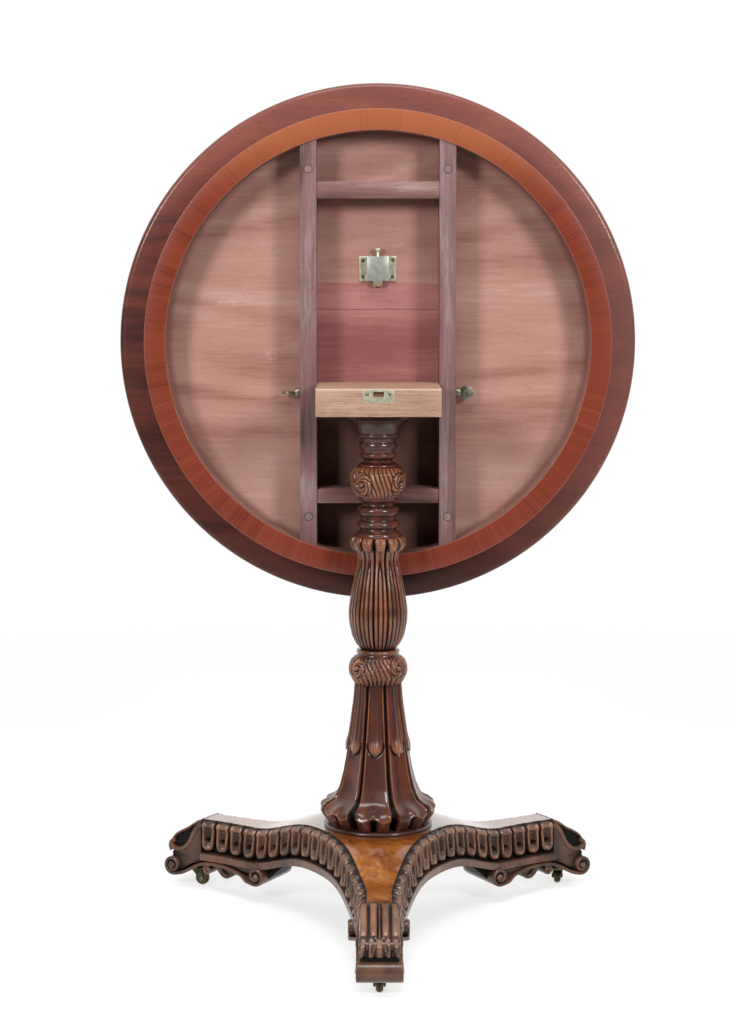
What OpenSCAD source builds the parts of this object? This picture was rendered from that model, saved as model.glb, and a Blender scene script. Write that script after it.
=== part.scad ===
// Tilt top table: a round top on bearers, hinged on a block at the head of a carved
// column, standing on a three armed platform with scroll feet and casters.
// The top is drawn tilted upright, which is the pose at rest. Millimetres, +Z up,
// origin on the floor on the axis of the column, front arm along -Y.

/* [Top] */
// Diameter of the round top
top_d = 700; // [560:1:860]
// Thickness of the round top
top_t = 20; // [16:1:30]
// Radius worked on both corners of the top's edge
top_edge_r = 7; // [2:0.5:8]
// Overhang of the top beyond the frieze ring
overhang = 37.5; // [15:0.5:70]
// Width of the frieze ring, measured across its face
frieze_w = 28.5; // [20:0.5:40]
// Depth of the frieze ring below the top
frieze_h = 48; // [40:1:58]
// Thickness of the cross-grained band on the ring's face
crossband_t = 1.2; // [0.8:0.1:2]

/* [Bearers] */
// Width of each bearer
bearer_w = 22; // [18:0.5:30]
// Depth of each bearer
bearer_h = 46; // [38:0.5:48]
// Width of each cross rail
rail_w = 22.6; // [16:0.2:30]
// Depth of each cross rail
rail_h = 44; // [34:0.5:46]
// Length of rail let into each bearer
rail_lap = 8; // [4:0.5:12]
// Distance of the upper rail's middle from the inside of the frieze ring
upper_rail_inset = 79.5; // [60:0.5:100]
// Distance of the lower rail's middle from the inside of the frieze ring
lower_rail_inset = 81; // [60:0.5:100]
// Rise of the arched edge of the lower rail
lower_rail_rise = 4; // [1:0.5:7]
// Distance of the plugged screws from the ends of the bearers
plug_inset = 36; // [25:1:50]
// Diameter of the round plugs over the bearer screws
plug_d = 12; // [9:0.5:14]

/* [Block and pivot] */
// Width of the block under the top
block_w = 162; // [130:1:200]
// Thickness of the block
block_t = 36; // [30:1:48]
// Distance of the pivot from the block's top face and back face
pivot_inset = 14; // [11:0.5:17]
// Diameter of the pivot screws
pivot_d = 8; // [6:0.5:10]
// Length of each pivot screw inside the block
pivot_in = 38; // [20:1:45]
// Diameter of the flat thumb piece
thumb_d = 19; // [14:0.5:24]
// Thickness of the flat thumb piece
thumb_t = 3.2; // [2:0.2:5]

/* [Catch] */
// Width of the catch plate on the top
catch_w = 50; // [40:1:64]
// Length of the catch plate, along the bolt
catch_l = 34; // [30:1:44]
// Width of the catch case
case_w = 29; // [22:0.5:34]
// Width of the bolt
bolt_w = 13; // [10:0.5:16]
// Thickness of the bolt
bolt_t = 6; // [5:0.2:7]
// Length of bolt that enters the block
bolt_throw = 6; // [4:0.5:8]
// Diameter of the bolt's knob
bolt_knob_d = 10; // [8:0.5:12]
// Width of the strike plate on the block
strike_w = 40.6; // [30:0.2:50]
// Height of the strike plate
strike_h = 16.6; // [14:0.2:20]

/* [Column] */
// Height of the capital below the block
capital_h = 51; // [44:0.5:70]
// Height of the upper turning, with its carved knop
upper_h = 131; // [110:0.5:160]
// Height of the carved vase
vase_h = 138; // [110:0.5:170]
// Height of the lower carved knop
knop_h = 35; // [28:0.5:45]
// Height of the lotus skirt
lotus_h = 189.5; // [150:0.5:230]
// Height of the ring under the lotus skirt
base_ring_h = 4.5; // [3:0.5:10]
// Radius of the ring under the lotus skirt
base_ring_r = 72; // [66:0.5:80]
// Radius of the round tenons between the turned sections
spigot_r = 12.5; // [9:0.5:14]
// Length of the round tenons between the turned sections
spigot_l = 24; // [12:1:26]
// Radius of the tenon that enters the block
head_tenon_r = 20; // [14:0.5:26]
// Radius of the tenon that passes down through the platform
foot_tenon_r = 24; // [18:0.5:30]

/* [Platform] */
// Height of the platform's top at the arms
arm_top_z = 99; // [90:1:120]
// Thickness of the platform
platform_t = 54.7; // [46:0.1:60]
// Rise of the platform from the arms to its crown
crown_rise = 26; // [16:0.5:34]
// Distance of each arm's end from the column's axis
arm_end_r = 269; // [224:1:323]
// Width of each arm at its end
arm_end_w = 32; // [26:1:44]
// Radius at the waist between two arms
waist_r = 79.6; // [74:0.2:100]
// Thickness of the veneer on the platform
veneer_t = 1; // [0.6:0.1:2]
// Thickness of the carved band at its foot
band_t = 13; // [8:0.5:18]

/* [Feet] */
// Reach of the toe beyond the end of the arm
toe_reach = 60; // [50:1:80]
// Radius of the toe scroll
toe_r = 14; // [11:0.5:16]
// Height of the toe scroll above the floor
toe_z = 16.5; // [14:0.5:19]
// Width of the toe scroll
toe_w = 59; // [50:1:70]
// Width of the knee
knee_w = 49; // [42:1:58]
// Width across the inner scrolls
inner_scroll_w = 78; // [60:1:90]
// Radius of the inner scroll
inner_scroll_r = 14; // [10:0.5:16]

/* [Casters] */
// Distance of the caster's swivel beyond the end of the arm
caster_at = 23; // [20:0.5:28]
// Diameter of the caster wheel
wheel_d = 20; // [16:0.5:20]
// Width of the caster wheel
wheel_w = 9; // [6:0.5:10]
// Distance of the wheel's axle from the swivel axis
trail = 8; // [4:0.5:8]

/* [Clearances] */
// Gap between the top and the block where they meet
rest_gap = 0.3; // [0.2:0.1:1]
// Gap between the column and the frieze ring's face when the top is upright
ring_gap = 0.5; // [0.4:0.1:6]
// Gap between the block and each bearer
side_gap = 1; // [0.6:0.1:2]
// Radial clearance of a turning fit
run_clear = 0.05; // [0.03:0.01:0.1]
// Radial clearance of a glued or driven fit
fixed_clear = 0.05; // [0.03:0.01:0.1]

/* [Hidden] */
$fn = 64;

// Colours
carved_wood = "#5a3524";
dark_wood = "#2c1a14";
mahogany = "#6e3123";
bearer_wood = "#8d6457";
oak = "#c69a6d";
burr = "#9c5a26";
band_wood = "#a4562b";
brass = "#9a9364";
dull_brass = "#5b5438";
steel = "#6d6d6d";

// Heights of the stack, from the floor up
crown_z = arm_top_z + crown_rise;
ring_z = crown_z + base_ring_h;
lotus_top = ring_z + lotus_h;
knop_top = lotus_top + knop_h;
vase_top = knop_top + vase_h;
upper_top = vase_top + upper_h;
capital_top = upper_top + capital_h;
block_top = capital_top + block_t;

// Outlines of the upper turning and of the vase: radii at shares of the section's height
upper_line = [[29.6, 0], [34, 0.03], [36.8, 0.09], [34, 0.135], [29.5, 0.15], [29, 0.17],
              [24, 0.21], [28.3, 0.262], [23.5, 0.315], [23.5, 0.34], [27.6, 0.395],
              [20.4, 0.46], [20.4, 0.48], [24, 0.5], [25.6, 0.51], [25.6, 0.52], [32, 0.58],
              [36.3, 0.66], [37, 0.72], [35.8, 0.78], [31.5, 0.83], [26.5, 0.855],
              [26.5, 0.87], [20, 0.89], [18.6, 0.91], [20, 0.925], [24.5, 0.957], [22, 1]];
vase_line = [[22.6, 0.018], [21, 0.05], [23.5, 0.08], [28, 0.116], [34.4, 0.196], [38.2, 0.32],
             [38.6, 0.39], [38.2, 0.456], [34.9, 0.63], [29.6, 0.797], [26.8, 0.88],
             [26.3, 0.92], [27.2, 0.96], [29.6, 1]];
function radius_at(line, share) = lookup(share, [for (p = line) [p[1], p[0]]]);
function column_r(z) = z > vase_top ? radius_at(upper_line, (z - vase_top) / upper_h)
    : radius_at(vase_line, (z - knop_top) / vase_h);

// The block is as deep as lets the upright frieze ring pass behind the column. The ring's
// height depends a little on that depth, so the column is looked at over a wider stretch
frieze_d = top_d - 2 * overhang;
pivot_z = block_top - pivot_inset;
ring_low_guess = pivot_z + frieze_h + max([for (p = vase_line) p[0]]) - pivot_inset - frieze_d / 2;
ring_span = [for (i = [0:24]) column_r(ring_low_guess - 8 + (frieze_w + 10) * i / 24)];
block_d = 2 * (frieze_h - rest_gap + max(ring_span) + ring_gap);

// Pivot of the top, along X
pivot_y = block_d / 2 - pivot_inset;
board_y = block_d / 2 + rest_gap;
board_z = pivot_z + pivot_y;
pivot_v = -pivot_y;
pivot_depth = pivot_inset + rest_gap;

// Bearers, either side of the block
bearer_in = block_w / 2 + side_gap;
bearer_mid = bearer_in + bearer_w / 2;
bearer_out = bearer_in + bearer_w;
frieze_in_r = frieze_d / 2 - frieze_w;
plug_t = 8;
plug_at = sqrt(pow(frieze_in_r, 2) - pow(bearer_mid, 2)) - plug_inset;
upper_rail_v = frieze_in_r - upper_rail_inset;
lower_rail_v = lower_rail_inset - frieze_in_r;
bore_depth = 26;
thumb_boss_r = 6.2;
thumb_boss_l = 7;

// Catch, in line with the front of the block when the top is down
plate_t = 1.6;
catch_gap = 1;
catch_v = pivot_v + (block_d - pivot_inset) + catch_gap;
bolt_depth = 4.5;
case_wall = 1.5;
case_depth = bolt_depth + bolt_t + case_wall + 0.2;
case_top_wall = 4;
bolt_clear = 0.2;
bolt_l = 16;
rod_d = 4;
rod_out = 6;
knob_l = 5;
spring_turns = 5;
spring_wire_r = 0.45;
strike_t = 1.6;
strike_drop = 1.5;
strike_hole_w = bolt_w + 1;
strike_hole_h = bolt_t + 1;
strike_hole_drop = bolt_depth - 0.5 - rest_gap;
mortise_l = bolt_throw + 3;

// Platform plan: each hollow side is one round arc between two arm ends
arm_r = arm_end_r - 83;
flat_r = base_ring_r + 2;
arm_angles = [270, 30, 150];
corner_run = arm_end_w / 2 * cos(30) + arm_end_r * sin(30);
corner_sq = pow(arm_end_w / 2, 2) + pow(arm_end_r, 2);
arc_c = (corner_sq - pow(waist_r, 2)) / (2 * (corner_run - waist_r));
arc_r = arc_c - waist_r;
arc_half = atan2(arm_end_r * sin(60) - arm_end_w / 2 * cos(60), arc_c - corner_run);
rise_steps = 12;

// Fixings of the feet, kept inside the arms where the hollow sides draw in
dowel_r = 5;
dowel_l = 30;
foot_screw_at = arm_end_r - 42;
foot_screw_y = arc_c * sin(60) - sqrt(pow(arc_r, 2) - pow(foot_screw_at - arc_c * cos(60), 2))
    - 5.4;

// Feet and casters
toe_at = arm_end_r + toe_reach - toe_r;
toe_mid_z = toe_z + toe_r;
leaf_r = 11;
leaf_at = toe_at - 4;
leaf_z = arm_top_z - 35;
inner_at = arm_end_r - 85;
inner_z = 36;
heel_at = arm_end_r - 138;
caster_r = arm_end_r + caster_at;
caster_seat = wheel_d + 6.5;
caster_plate_t = 2;
crown_t = 2.4;
crown_top = caster_seat - caster_plate_t - 0.3;
crown_low = crown_top - crown_t;
pocket_r = trail + wheel_d / 2 + 1.5;
stud_r = 3;
axle_r = 2;
cheek_t = 2;
cheek_gap = 0.3;
caster_headings = [0, 60, 200];

// Rise of the platform above its arms at a distance from the axis
function lift(r) = r < flat_r ? crown_rise : r > arm_r ? 0
    : crown_rise * (1 + cos(180 * (r - flat_r) / (arm_r - flat_r))) / 2;
function rise_line() = [for (i = [0:rise_steps]) flat_r + (arm_r - flat_r) * i / rise_steps];

// A half round bead between two heights
function bead(r, low, high, out) =
    [for (i = [0:6]) [r + out * sin(i * 30), low + (high - low) * (1 - cos(i * 30)) / 2]];

// A turned outline: radii with heights given as shares of the section's height
function turned(points, low, tall) = [for (p = points) [p[0], low + p[1] * tall]];

// A closed skin over a row of rings of points
module loft(rings) {
    n = len(rings[0]);
    last = len(rings) - 1;
    polyhedron(
        points = [for (ring = rings) each ring],
        faces = concat(
            [[for (j = [0:n - 1]) j]],
            [for (i = [0:last - 1]) for (j = [0:n - 1])
                [i * n + j, (i + 1) * n + j, (i + 1) * n + (j + 1) % n, i * n + (j + 1) % n]],
            [[for (j = [n - 1:-1:0]) last * n + j]]),
        convexity = 8);
}

// Puts what is drawn flat in X and Y on the underside of the top: Y runs up the board
// at rest, and Z is the depth away from the board
module on_board() {
    translate([0, board_y, board_z]) rotate([90, 0, 0]) children();
}

module at_arm(i) {
    rotate([0, 0, arm_angles[i]]) children();
}

// Countersunk screw, head at Z = 0, point down
module screw(head_r, shank_r, length) {
    rotate_extrude()
        polygon([[0, 0], [head_r, 0], [shank_r, -(head_r - shank_r)],
                 [shank_r, -length + 2 * shank_r], [0, -length]]);
}

module screw_hole(head_r, shank_r, length, above = 1) {
    c = fixed_clear;
    rotate_extrude()
        polygon([[0, above], [head_r + c, above], [head_r + c, 0], [shank_r + c, -(head_r - shank_r)],
                 [shank_r + c, -length], [0, -length]]);
}

// ---- Top ----

module table_top() {
    r = top_d / 2;
    e = top_edge_r;
    color(mahogany) on_board() difference() {
        rotate_extrude($fn = 128) union() {
            translate([0, -top_t]) square([r - e, top_t]);
            translate([0, -top_t + e]) square([r, top_t - 2 * e]);
            translate([r - e, -e]) circle(e);
            translate([r - e, -top_t + e]) circle(e);
        }
        catch_screw_places() screw_hole(2.6, 1.2, 10);
        bearer_screw_places() screw_hole(4, 2.2, 34);
    }
}

module frieze_ring() {
    color(mahogany) on_board() difference() {
        cylinder(r = frieze_d / 2, h = frieze_h - crossband_t, $fn = 128);
        translate([0, 0, -1]) cylinder(r = frieze_in_r, h = frieze_h + 2, $fn = 128);
    }
}

module frieze_crossband() {
    color(band_wood) on_board() translate([0, 0, frieze_h - crossband_t]) difference() {
        cylinder(r = frieze_d / 2, h = crossband_t, $fn = 128);
        translate([0, 0, -1]) cylinder(r = frieze_in_r, h = crossband_t + 2, $fn = 128);
    }
}

module rail_places() {
    translate([0, upper_rail_v, 0]) children(0);
    translate([0, lower_rail_v, 0]) children(1);
}

// A rail lies across the bearers; a rise above nought arches its upper edge
module rail_blank(rise) {
    half = rail_w / 2;
    full = bearer_in + rail_lap;
    arch_r = rise > 0 ? (pow(bearer_in, 2) + rise * rise) / (2 * rise) : 0;
    difference() {
        translate([-full, -half, 0]) cube([2 * full, rail_w, rail_h]);
        if (rise > 0) difference() {
            translate([-full - 1, half - rise, -1]) cube([2 * full + 2, rail_w, rail_h + 2]);
            translate([0, half - arch_r, -2]) cylinder(r = arch_r, h = rail_h + 4, $fn = 360);
        }
    }
}

module bearer(side) {
    long = frieze_in_r - 0.1;
    color(bearer_wood) on_board() difference() {
        intersection() {
            translate([side * bearer_mid - bearer_w / 2, -long, 0])
                cube([bearer_w, 2 * long, bearer_h]);
            cylinder(r = long, h = bearer_h, $fn = 128);
        }
        rail_places() {
            housing(0);
            housing(lower_rail_rise);
        }
        translate([side * bearer_mid, pivot_v, pivot_depth]) rotate([0, 90, 0])
            cylinder(r = pivot_d / 2 + run_clear, h = bearer_w + 2, center = true);
        bearer_screw_places() {
            cylinder(r = plug_d / 2 + fixed_clear, h = bearer_h);
            screw_hole(4, 2.2, 34);
        }
    }
}

module housing(drop) {
    wide = 2 * (bearer_in + rail_lap + fixed_clear);
    low = -rail_w / 2 - fixed_clear;
    translate([-wide / 2, low, -1]) cube([wide, rail_w - drop + 2 * fixed_clear, rail_h + 1]);
}

module bearer_left() { bearer(-1); }
module bearer_right() { bearer(1); }

module cross_rail_upper() {
    color(bearer_wood) on_board() translate([0, upper_rail_v, 0])
        rail_blank(0);
}

module cross_rail_lower() {
    color(bearer_wood) on_board() translate([0, lower_rail_v, 0])
        rail_blank(lower_rail_rise);
}

module bearer_screw_places() {
    for (x = [-bearer_mid, bearer_mid], y = [-plug_at, plug_at])
        translate([x, y, bearer_h - bore_depth]) children();
}

module bearer_plugs() {
    color(bearer_wood) on_board() bearer_screw_places()
        translate([0, 0, bore_depth - plug_t]) cylinder(r = plug_d / 2, h = plug_t);
}

module bearer_screws() {
    color(steel) on_board() bearer_screw_places() screw(4, 2.2, 32);
}

// ---- Catch ----

module catch_screw_places() {
    for (x = [-1, 1], y = [6, catch_l - 6])
        translate([x * (catch_w / 2 - 5), catch_v + y, plate_t]) children();
}

module catch_plate() {
    color(brass) on_board() difference() {
        translate([-catch_w / 2, catch_v, 0]) cube([catch_w, catch_l, plate_t]);
        catch_screw_places() screw_hole(2.6, 1.2, 10);
    }
}

module catch_case() {
    color(brass) on_board() translate([0, catch_v, 0]) difference() {
        translate([-case_w / 2, 0.5, plate_t]) cube([case_w, catch_l - 1, case_depth - plate_t]);
        translate([-bolt_w / 2 - bolt_clear, -1, bolt_depth - bolt_clear])
            cube([bolt_w + 2 * bolt_clear, catch_l - case_top_wall + 0.5, bolt_t + 2 * bolt_clear]);
        translate([0, catch_l + 1, bolt_depth + bolt_t / 2]) rotate([90, 0, 0])
            cylinder(r = rod_d / 2 + run_clear, h = catch_l);
    }
}

// The bolt's nose is sloped on the side that meets the block as the top comes down
module catch_bolt() {
    tip = catch_gap + bolt_throw;
    color(brass) on_board() translate([0, catch_v, bolt_depth]) union() {
        translate([-bolt_w / 2, 0, 0]) rotate([90, 0, 90]) linear_extrude(bolt_w)
            polygon([[-tip, 0], [bolt_l, 0], [bolt_l, bolt_t], [-tip + 5, bolt_t],
                     [-tip, bolt_t * 0.25]]);
        translate([0, catch_l + rod_out, bolt_t / 2]) rotate([90, 0, 0])
            cylinder(r = rod_d / 2, h = catch_l + rod_out - bolt_l + 1);
    }
}

module catch_knob() {
    color(brass) on_board()
        translate([0, catch_v + catch_l + rod_out, bolt_depth + bolt_t / 2])
        rotate([-90, 0, 0]) rotate_extrude()
            polygon(concat([[0, 0], [3, 0]], bead(bolt_knob_d / 2 - 1, 0.8, knob_l, 1),
                           [[0, knob_l]]));
}

module catch_spring() {
    low = catch_v + bolt_l + spring_wire_r + 0.1;
    high = catch_v + catch_l - case_top_wall - spring_wire_r - 0.4;
    mid_r = rod_d / 2 + spring_wire_r + 0.25;
    steps = spring_turns * 16;
    color(steel) on_board() translate([0, 0, bolt_depth + bolt_t / 2])
        loft([for (i = [0:steps]) let (a = i * 360 / 16, v = low + (high - low) * i / steps)
            [for (k = [0:5]) let (rr = mid_r + spring_wire_r * cos(60 * k))
                [rr * cos(a), v + spring_wire_r * sin(60 * k), rr * sin(a)]]]);
}

module catch_screws() {
    color(brass) on_board() catch_screw_places() screw(2.6, 1.2, 9);
}

// ---- Pivot and block ----

module pivot_screw(side, turn) {
    inner = block_w / 2 - pivot_in;
    outer = bearer_out + rest_gap;
    color(dull_brass) translate([0, pivot_y, pivot_z]) rotate([0, side * 90, 0]) union() {
        translate([0, 0, inner]) cylinder(r = pivot_d / 2, h = outer + 1 - inner);
        translate([0, 0, outer]) cylinder(r = thumb_boss_r, h = thumb_boss_l);
        translate([0, 0, outer + thumb_boss_l + thumb_d / 2 - 1])
            rotate([0, 90, turn]) cylinder(r = thumb_d / 2, h = thumb_t, center = true);
    }
}

module pivot_screw_left() { pivot_screw(-1, 0); }
module pivot_screw_right() { pivot_screw(1, 90); }

module strike_screw_places() {
    for (x = [-1, 1])
        translate([x * (strike_w / 2 - 6), -block_d / 2, block_top - strike_hole_drop - 3.5])
            rotate([90, 0, 0]) children();
}

module strike_outline(c, t) {
    translate([-strike_w / 2 - c, -block_d / 2, block_top - strike_drop - strike_h - c])
        cube([strike_w + 2 * c, t, strike_h + 2 * c]);
}

module strike_hole(c, deep) {
    translate([-strike_hole_w / 2 - c, -block_d / 2 - 1,
               block_top - strike_hole_drop - strike_hole_h - c])
        cube([strike_hole_w + 2 * c, deep, strike_hole_h + 2 * c]);
}

module strike_plate() {
    color(brass) difference() {
        strike_outline(0, strike_t);
        strike_hole(0, mortise_l);
        strike_screw_places() screw_hole(2.6, 1.2, 10);
    }
}

module strike_screws() {
    color(brass) strike_screw_places() screw(2.6, 1.2, 9);
}

module block() {
    low = capital_top;
    color(oak) difference() {
        union() {
            translate([-block_w / 2, -block_d / 2, low])
                cube([block_w, block_d - pivot_inset, block_t]);
            translate([-block_w / 2, -block_d / 2, low])
                cube([block_w, block_d, block_t - pivot_inset]);
            translate([0, pivot_y, pivot_z]) rotate([0, 90, 0])
                cylinder(r = pivot_inset, h = block_w, center = true);
        }
        translate([0, 0, low - 1]) cylinder(r = head_tenon_r + fixed_clear, h = spigot_l + 2);
        for (side = [-1, 1]) translate([side * (block_w / 2 - pivot_in / 2), pivot_y, pivot_z])
            rotate([0, 90, 0])
                cylinder(r = pivot_d / 2 + run_clear, h = pivot_in + 1, center = true);
        strike_outline(fixed_clear, strike_t);
        strike_hole(0.3, mortise_l + 1);
        strike_screw_places() screw_hole(2.6, 1.2, 10);
    }
}

// ---- Column ----

// One turned section, with a socket below and a round tenon above
module turning(points, low, tall, socket_r, tenon_r) {
    difference() {
        union() {
            rotate_extrude($fn = 96)
                polygon(concat([[0, low]], points, [[0, low + tall]]));
            translate([0, 0, low + tall - 1]) cylinder(r = tenon_r, h = spigot_l + 1);
        }
        if (socket_r > 0) translate([0, 0, low - 1])
            cylinder(r = socket_r + fixed_clear, h = spigot_l + 2);
    }
}

module column_capital() {
    low = upper_top;
    points = concat(
        [[22, low], [22.6, low + 0.03 * capital_h]],
        bead(22.6, low + 0.05 * capital_h, low + 0.24 * capital_h, 2.6),
        turned([[23, 0.26], [23, 0.3], [24, 0.34], [26.5, 0.37]], low, capital_h),
        bead(27.5, low + 0.38 * capital_h, low + 0.46 * capital_h, 1.6),
        turned([[28, 0.48], [31, 0.62], [36, 0.74], [42, 0.84], [42, 1]], low, capital_h));
    color(dark_wood) turning(points, low, capital_h, spigot_r, head_tenon_r);
}

module column_upper() {
    low = vase_top;
    beads = [[0.262, 0.037, 24, 4.3], [0.395, 0.045, 23.5, 4.1], [0.957, 0.028, 21.5, 3]];
    // each bead in the outline is drawn round in place of its crest
    points = [for (p = upper_line) each
        let (hit = [for (b = beads) if (b[0] == p[1]) b])
        len(hit) == 0 ? [[p[0], low + p[1] * upper_h]]
        : bead(hit[0][2], low + (hit[0][0] - hit[0][1]) * upper_h,
               low + (hit[0][0] + hit[0][1]) * upper_h, hit[0][3])];
    color(carved_wood) turning(points, low, upper_h, spigot_r, spigot_r);
}

module column_vase() {
    low = knop_top;
    foot_bead = bead(21.4, low, low + 0.036 * vase_h, 1.2);
    points = concat(foot_bead, turned([for (p = vase_line) if (p[1] > 0.04) p], low, vase_h));
    color(carved_wood) turning(points, low, vase_h, spigot_r, spigot_r);
}

module column_lower_knop() {
    low = lotus_top;
    points = turned([[31.5, 0], [35, 0.11], [38.2, 0.25], [38.9, 0.37], [38.7, 0.54], [36, 0.75],
                     [30.8, 0.91], [24, 0.97], [22.6, 1]], low, knop_h);
    color(carved_wood) turning(points, low, knop_h, spigot_r, spigot_r);
}

module column_lotus() {
    low = ring_z;
    points = turned([[66, 0], [68.5, 0.02], [72.8, 0.05], [75, 0.09], [75, 0.115], [73, 0.135],
                     [68.5, 0.148], [62, 0.165], [57.5, 0.187], [51, 0.265], [46, 0.365],
                     [41, 0.51], [37, 0.66], [31.8, 0.855], [29.5, 1]], low, lotus_h);
    color(carved_wood) difference() {
        union() {
            turning(points, low, lotus_h, 0, spigot_r);
            translate([0, 0, crown_z - platform_t]) cylinder(r = foot_tenon_r,
                                                             h = platform_t + base_ring_h + 1);
        }
        wedge_shape(fixed_clear);
    }
}

module column_base_ring() {
    color(dark_wood) translate([0, 0, crown_z]) difference() {
        rotate_extrude($fn = 96) polygon(concat([[0, 0]],
            bead(base_ring_r - 1.5, 0, base_ring_h, 1.5), [[0, base_ring_h]]));
        translate([0, 0, -1]) cylinder(r = foot_tenon_r + fixed_clear, h = base_ring_h + 2);
    }
}

// Tapered wedge driven up into the foot of the column
module wedge_shape(c) {
    long = 2 * foot_tenon_r;
    translate([-long / 2, 0, crown_z - platform_t]) rotate([90, 0, 90])
        linear_extrude(long)
            polygon([[-3 - c, -c], [3 + c, -c], [1 + c, 34 + c], [-1 - c, 34 + c]]);
}

module tenon_wedge() {
    color(oak) intersection() {
        wedge_shape(0);
        translate([0, 0, crown_z - platform_t]) cylinder(r = foot_tenon_r, h = platform_t);
    }
}

// ---- Platform ----

module plan() {
    half = arm_end_w / 2;
    difference() {
        polygon([for (a = arm_angles) each
            [[arm_end_r * cos(a) + half * sin(a), arm_end_r * sin(a) - half * cos(a)],
             [arm_end_r * cos(a) - half * sin(a), arm_end_r * sin(a) + half * cos(a)]]]);
        for (a = arm_angles) translate([-arc_c * cos(a), -arc_c * sin(a)])
            circle(r = arc_r, $fn = 180);
    }
}

// What lies between two heights below the platform's top surface, out to the arms' ends
module under_top(from, to) {
    rim = arm_end_r + 40;
    line = rise_line();
    upper = concat([[0, crown_z - from]], [for (r = line) [r, arm_top_z + lift(r) - from]],
                   [[rim, arm_top_z - from]]);
    lower = concat([[0, crown_z - to]], [for (r = line) [r, arm_top_z + lift(r) - to]],
                   [[rim, arm_top_z - to]]);
    rotate_extrude($fn = 96)
        polygon(concat(upper, [for (i = [len(lower) - 1:-1:0]) lower[i]]));
}

module slab(from, to) {
    difference() {
        intersection() {
            linear_extrude(crown_z + 20) plan();
            under_top(from, to);
        }
        translate([0, 0, -1]) cylinder(r = foot_tenon_r + fixed_clear, h = crown_z + 30);
    }
}

module platform() {
    color(carved_wood) difference() {
        slab(veneer_t, platform_t);
        foot_dowel_places() cylinder(r = dowel_r + fixed_clear, h = dowel_l + 1, center = true);
        foot_screw_places() screw_hole(4.5, 2.5, 42, 20);
    }
}

module platform_veneer() {
    color(burr) slab(0, veneer_t);
}

// Band of carved tongues along one hollow side, thicker at its foot
module carved_band(a) {
    steps = 48;
    reach = arc_half - 0.05;
    color(carved_wood) rotate([0, 0, a + 180]) translate([arc_c, 0, 0])
        loft([for (i = [0:steps])
            let (t = 180 + reach * (1 - 2 * i / steps),
                 x = arc_r * cos(t), y = arc_r * sin(t),
                 r = norm([x + arc_c, y]),
                 top = arm_top_z + lift(r) - 0.4,
                 low = arm_top_z + lift(r) - platform_t)
            [for (p = [[0, low], [band_t, low], [band_t, low + 9], [band_t - 2, low + 12],
                       [band_t - 4, low + 34], [5, top - 7], [3, top - 1], [0, top]])
                [(arc_r - p[0]) * cos(t), (arc_r - p[0]) * sin(t), p[1]]]]);
}

module carved_band_right() { carved_band(150); }
module carved_band_left() { carved_band(30); }
module carved_band_back() { carved_band(270); }

// ---- Feet ----

module foot_dowel_places() {
    for (i = [0:2], y = [-8, 8])
        at_arm(i) translate([arm_end_r - 5, y, arm_top_z - platform_t / 2])
            rotate([0, 90, 0]) children();
}

module foot_screw_places() {
    for (i = [0:2], y = [-foot_screw_y, foot_screw_y])
        at_arm(i) translate([foot_screw_at, y, 41]) rotate([180, 0, 0]) children();
}

// Side view of a foot: distance from the column's axis across, height up. Its top
// follows the underside of the platform as far as the arm's end, then climbs to the knee
module foot_side() {
    x = arm_end_r;
    t = arm_top_z;
    under = [for (i = [0:6]) let (r = heel_at + (arm_r - heel_at) * i / 6)
        [r, t + lift(norm([r, knee_w / 2])) - platform_t]];
    polygon(concat(under, [[x, t - platform_t], [x, t - 1], [x + 8, t - 6], [x + 16, t - 20],
             [x + 22, t - 35], [x + 31, t - 43], [leaf_at, t - 45], [toe_at + 5, t - 49],
             [toe_at + 2, toe_mid_z], [toe_at, toe_z + 1], [toe_at - 8, toe_z + 2], [x + 27, 25],
             [x + 12, 34], [x, 38.5], [x - 20, 41], [x - 33, 40], [x - 53, 32],
             [inner_at + 10, inner_z - 10], [inner_at, inner_z - inner_scroll_r + 1],
             [inner_at - 9, inner_z - 9]]));
}

// Strip that follows the sole, a little wider than the foot
module foot_border() {
    x = arm_end_r;
    polygon([[toe_at, toe_z + 1], [toe_at - 8, toe_z + 2], [x + 27, 25], [x + 12, 34],
             [x, 38.5], [x - 20, 41], [x - 33, 40], [x - 53, 32], [inner_at + 10, inner_z - 10],
             [inner_at + 4, inner_z - 6], [x - 53, 39], [x - 33, 44.2], [x + 4, 44.2],
             [x + 16, 40], [x + 30, 31], [toe_at - 6, 26]]);
}

module across(w) {
    rotate([90, 0, 0]) translate([0, 0, -w / 2]) linear_extrude(w) children();
}

module foot(i) {
    color(carved_wood) difference() {
        at_arm(i) difference() {
            union() {
                across(knee_w) foot_side();
                across(toe_w) foot_border();
                across(toe_w) translate([toe_at, toe_mid_z]) circle(r = toe_r);
                across(knee_w + 2) translate([leaf_at, leaf_z]) circle(r = leaf_r);
                across(inner_scroll_w) difference() {
                    translate([inner_at, inner_z]) circle(r = inner_scroll_r);
                    translate([inner_at - 30, arm_top_z - platform_t]) square([60, 30]);
                }
                translate([caster_r, 0, caster_seat]) cylinder(r = 15, h = 10);
            }
            translate([caster_r, 0, -1]) cylinder(r = pocket_r, h = caster_seat + 1);
        }
        foot_dowel_places() cylinder(r = dowel_r + fixed_clear, h = dowel_l + 1, center = true);
        foot_screw_places() screw_hole(4.5, 2.5, 42, 20);
        caster_screw_places() screw_hole(2.6, 1.3, 12);
    }
}

module foot_front() { foot(0); }
module foot_right() { foot(1); }
module foot_left() { foot(2); }

module foot_dowels() {
    color(oak) foot_dowel_places() cylinder(r = dowel_r, h = dowel_l, center = true);
}

module foot_screws() {
    color(steel) foot_screw_places() screw(4.5, 2.5, 40);
}

// ---- Casters ----

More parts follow.
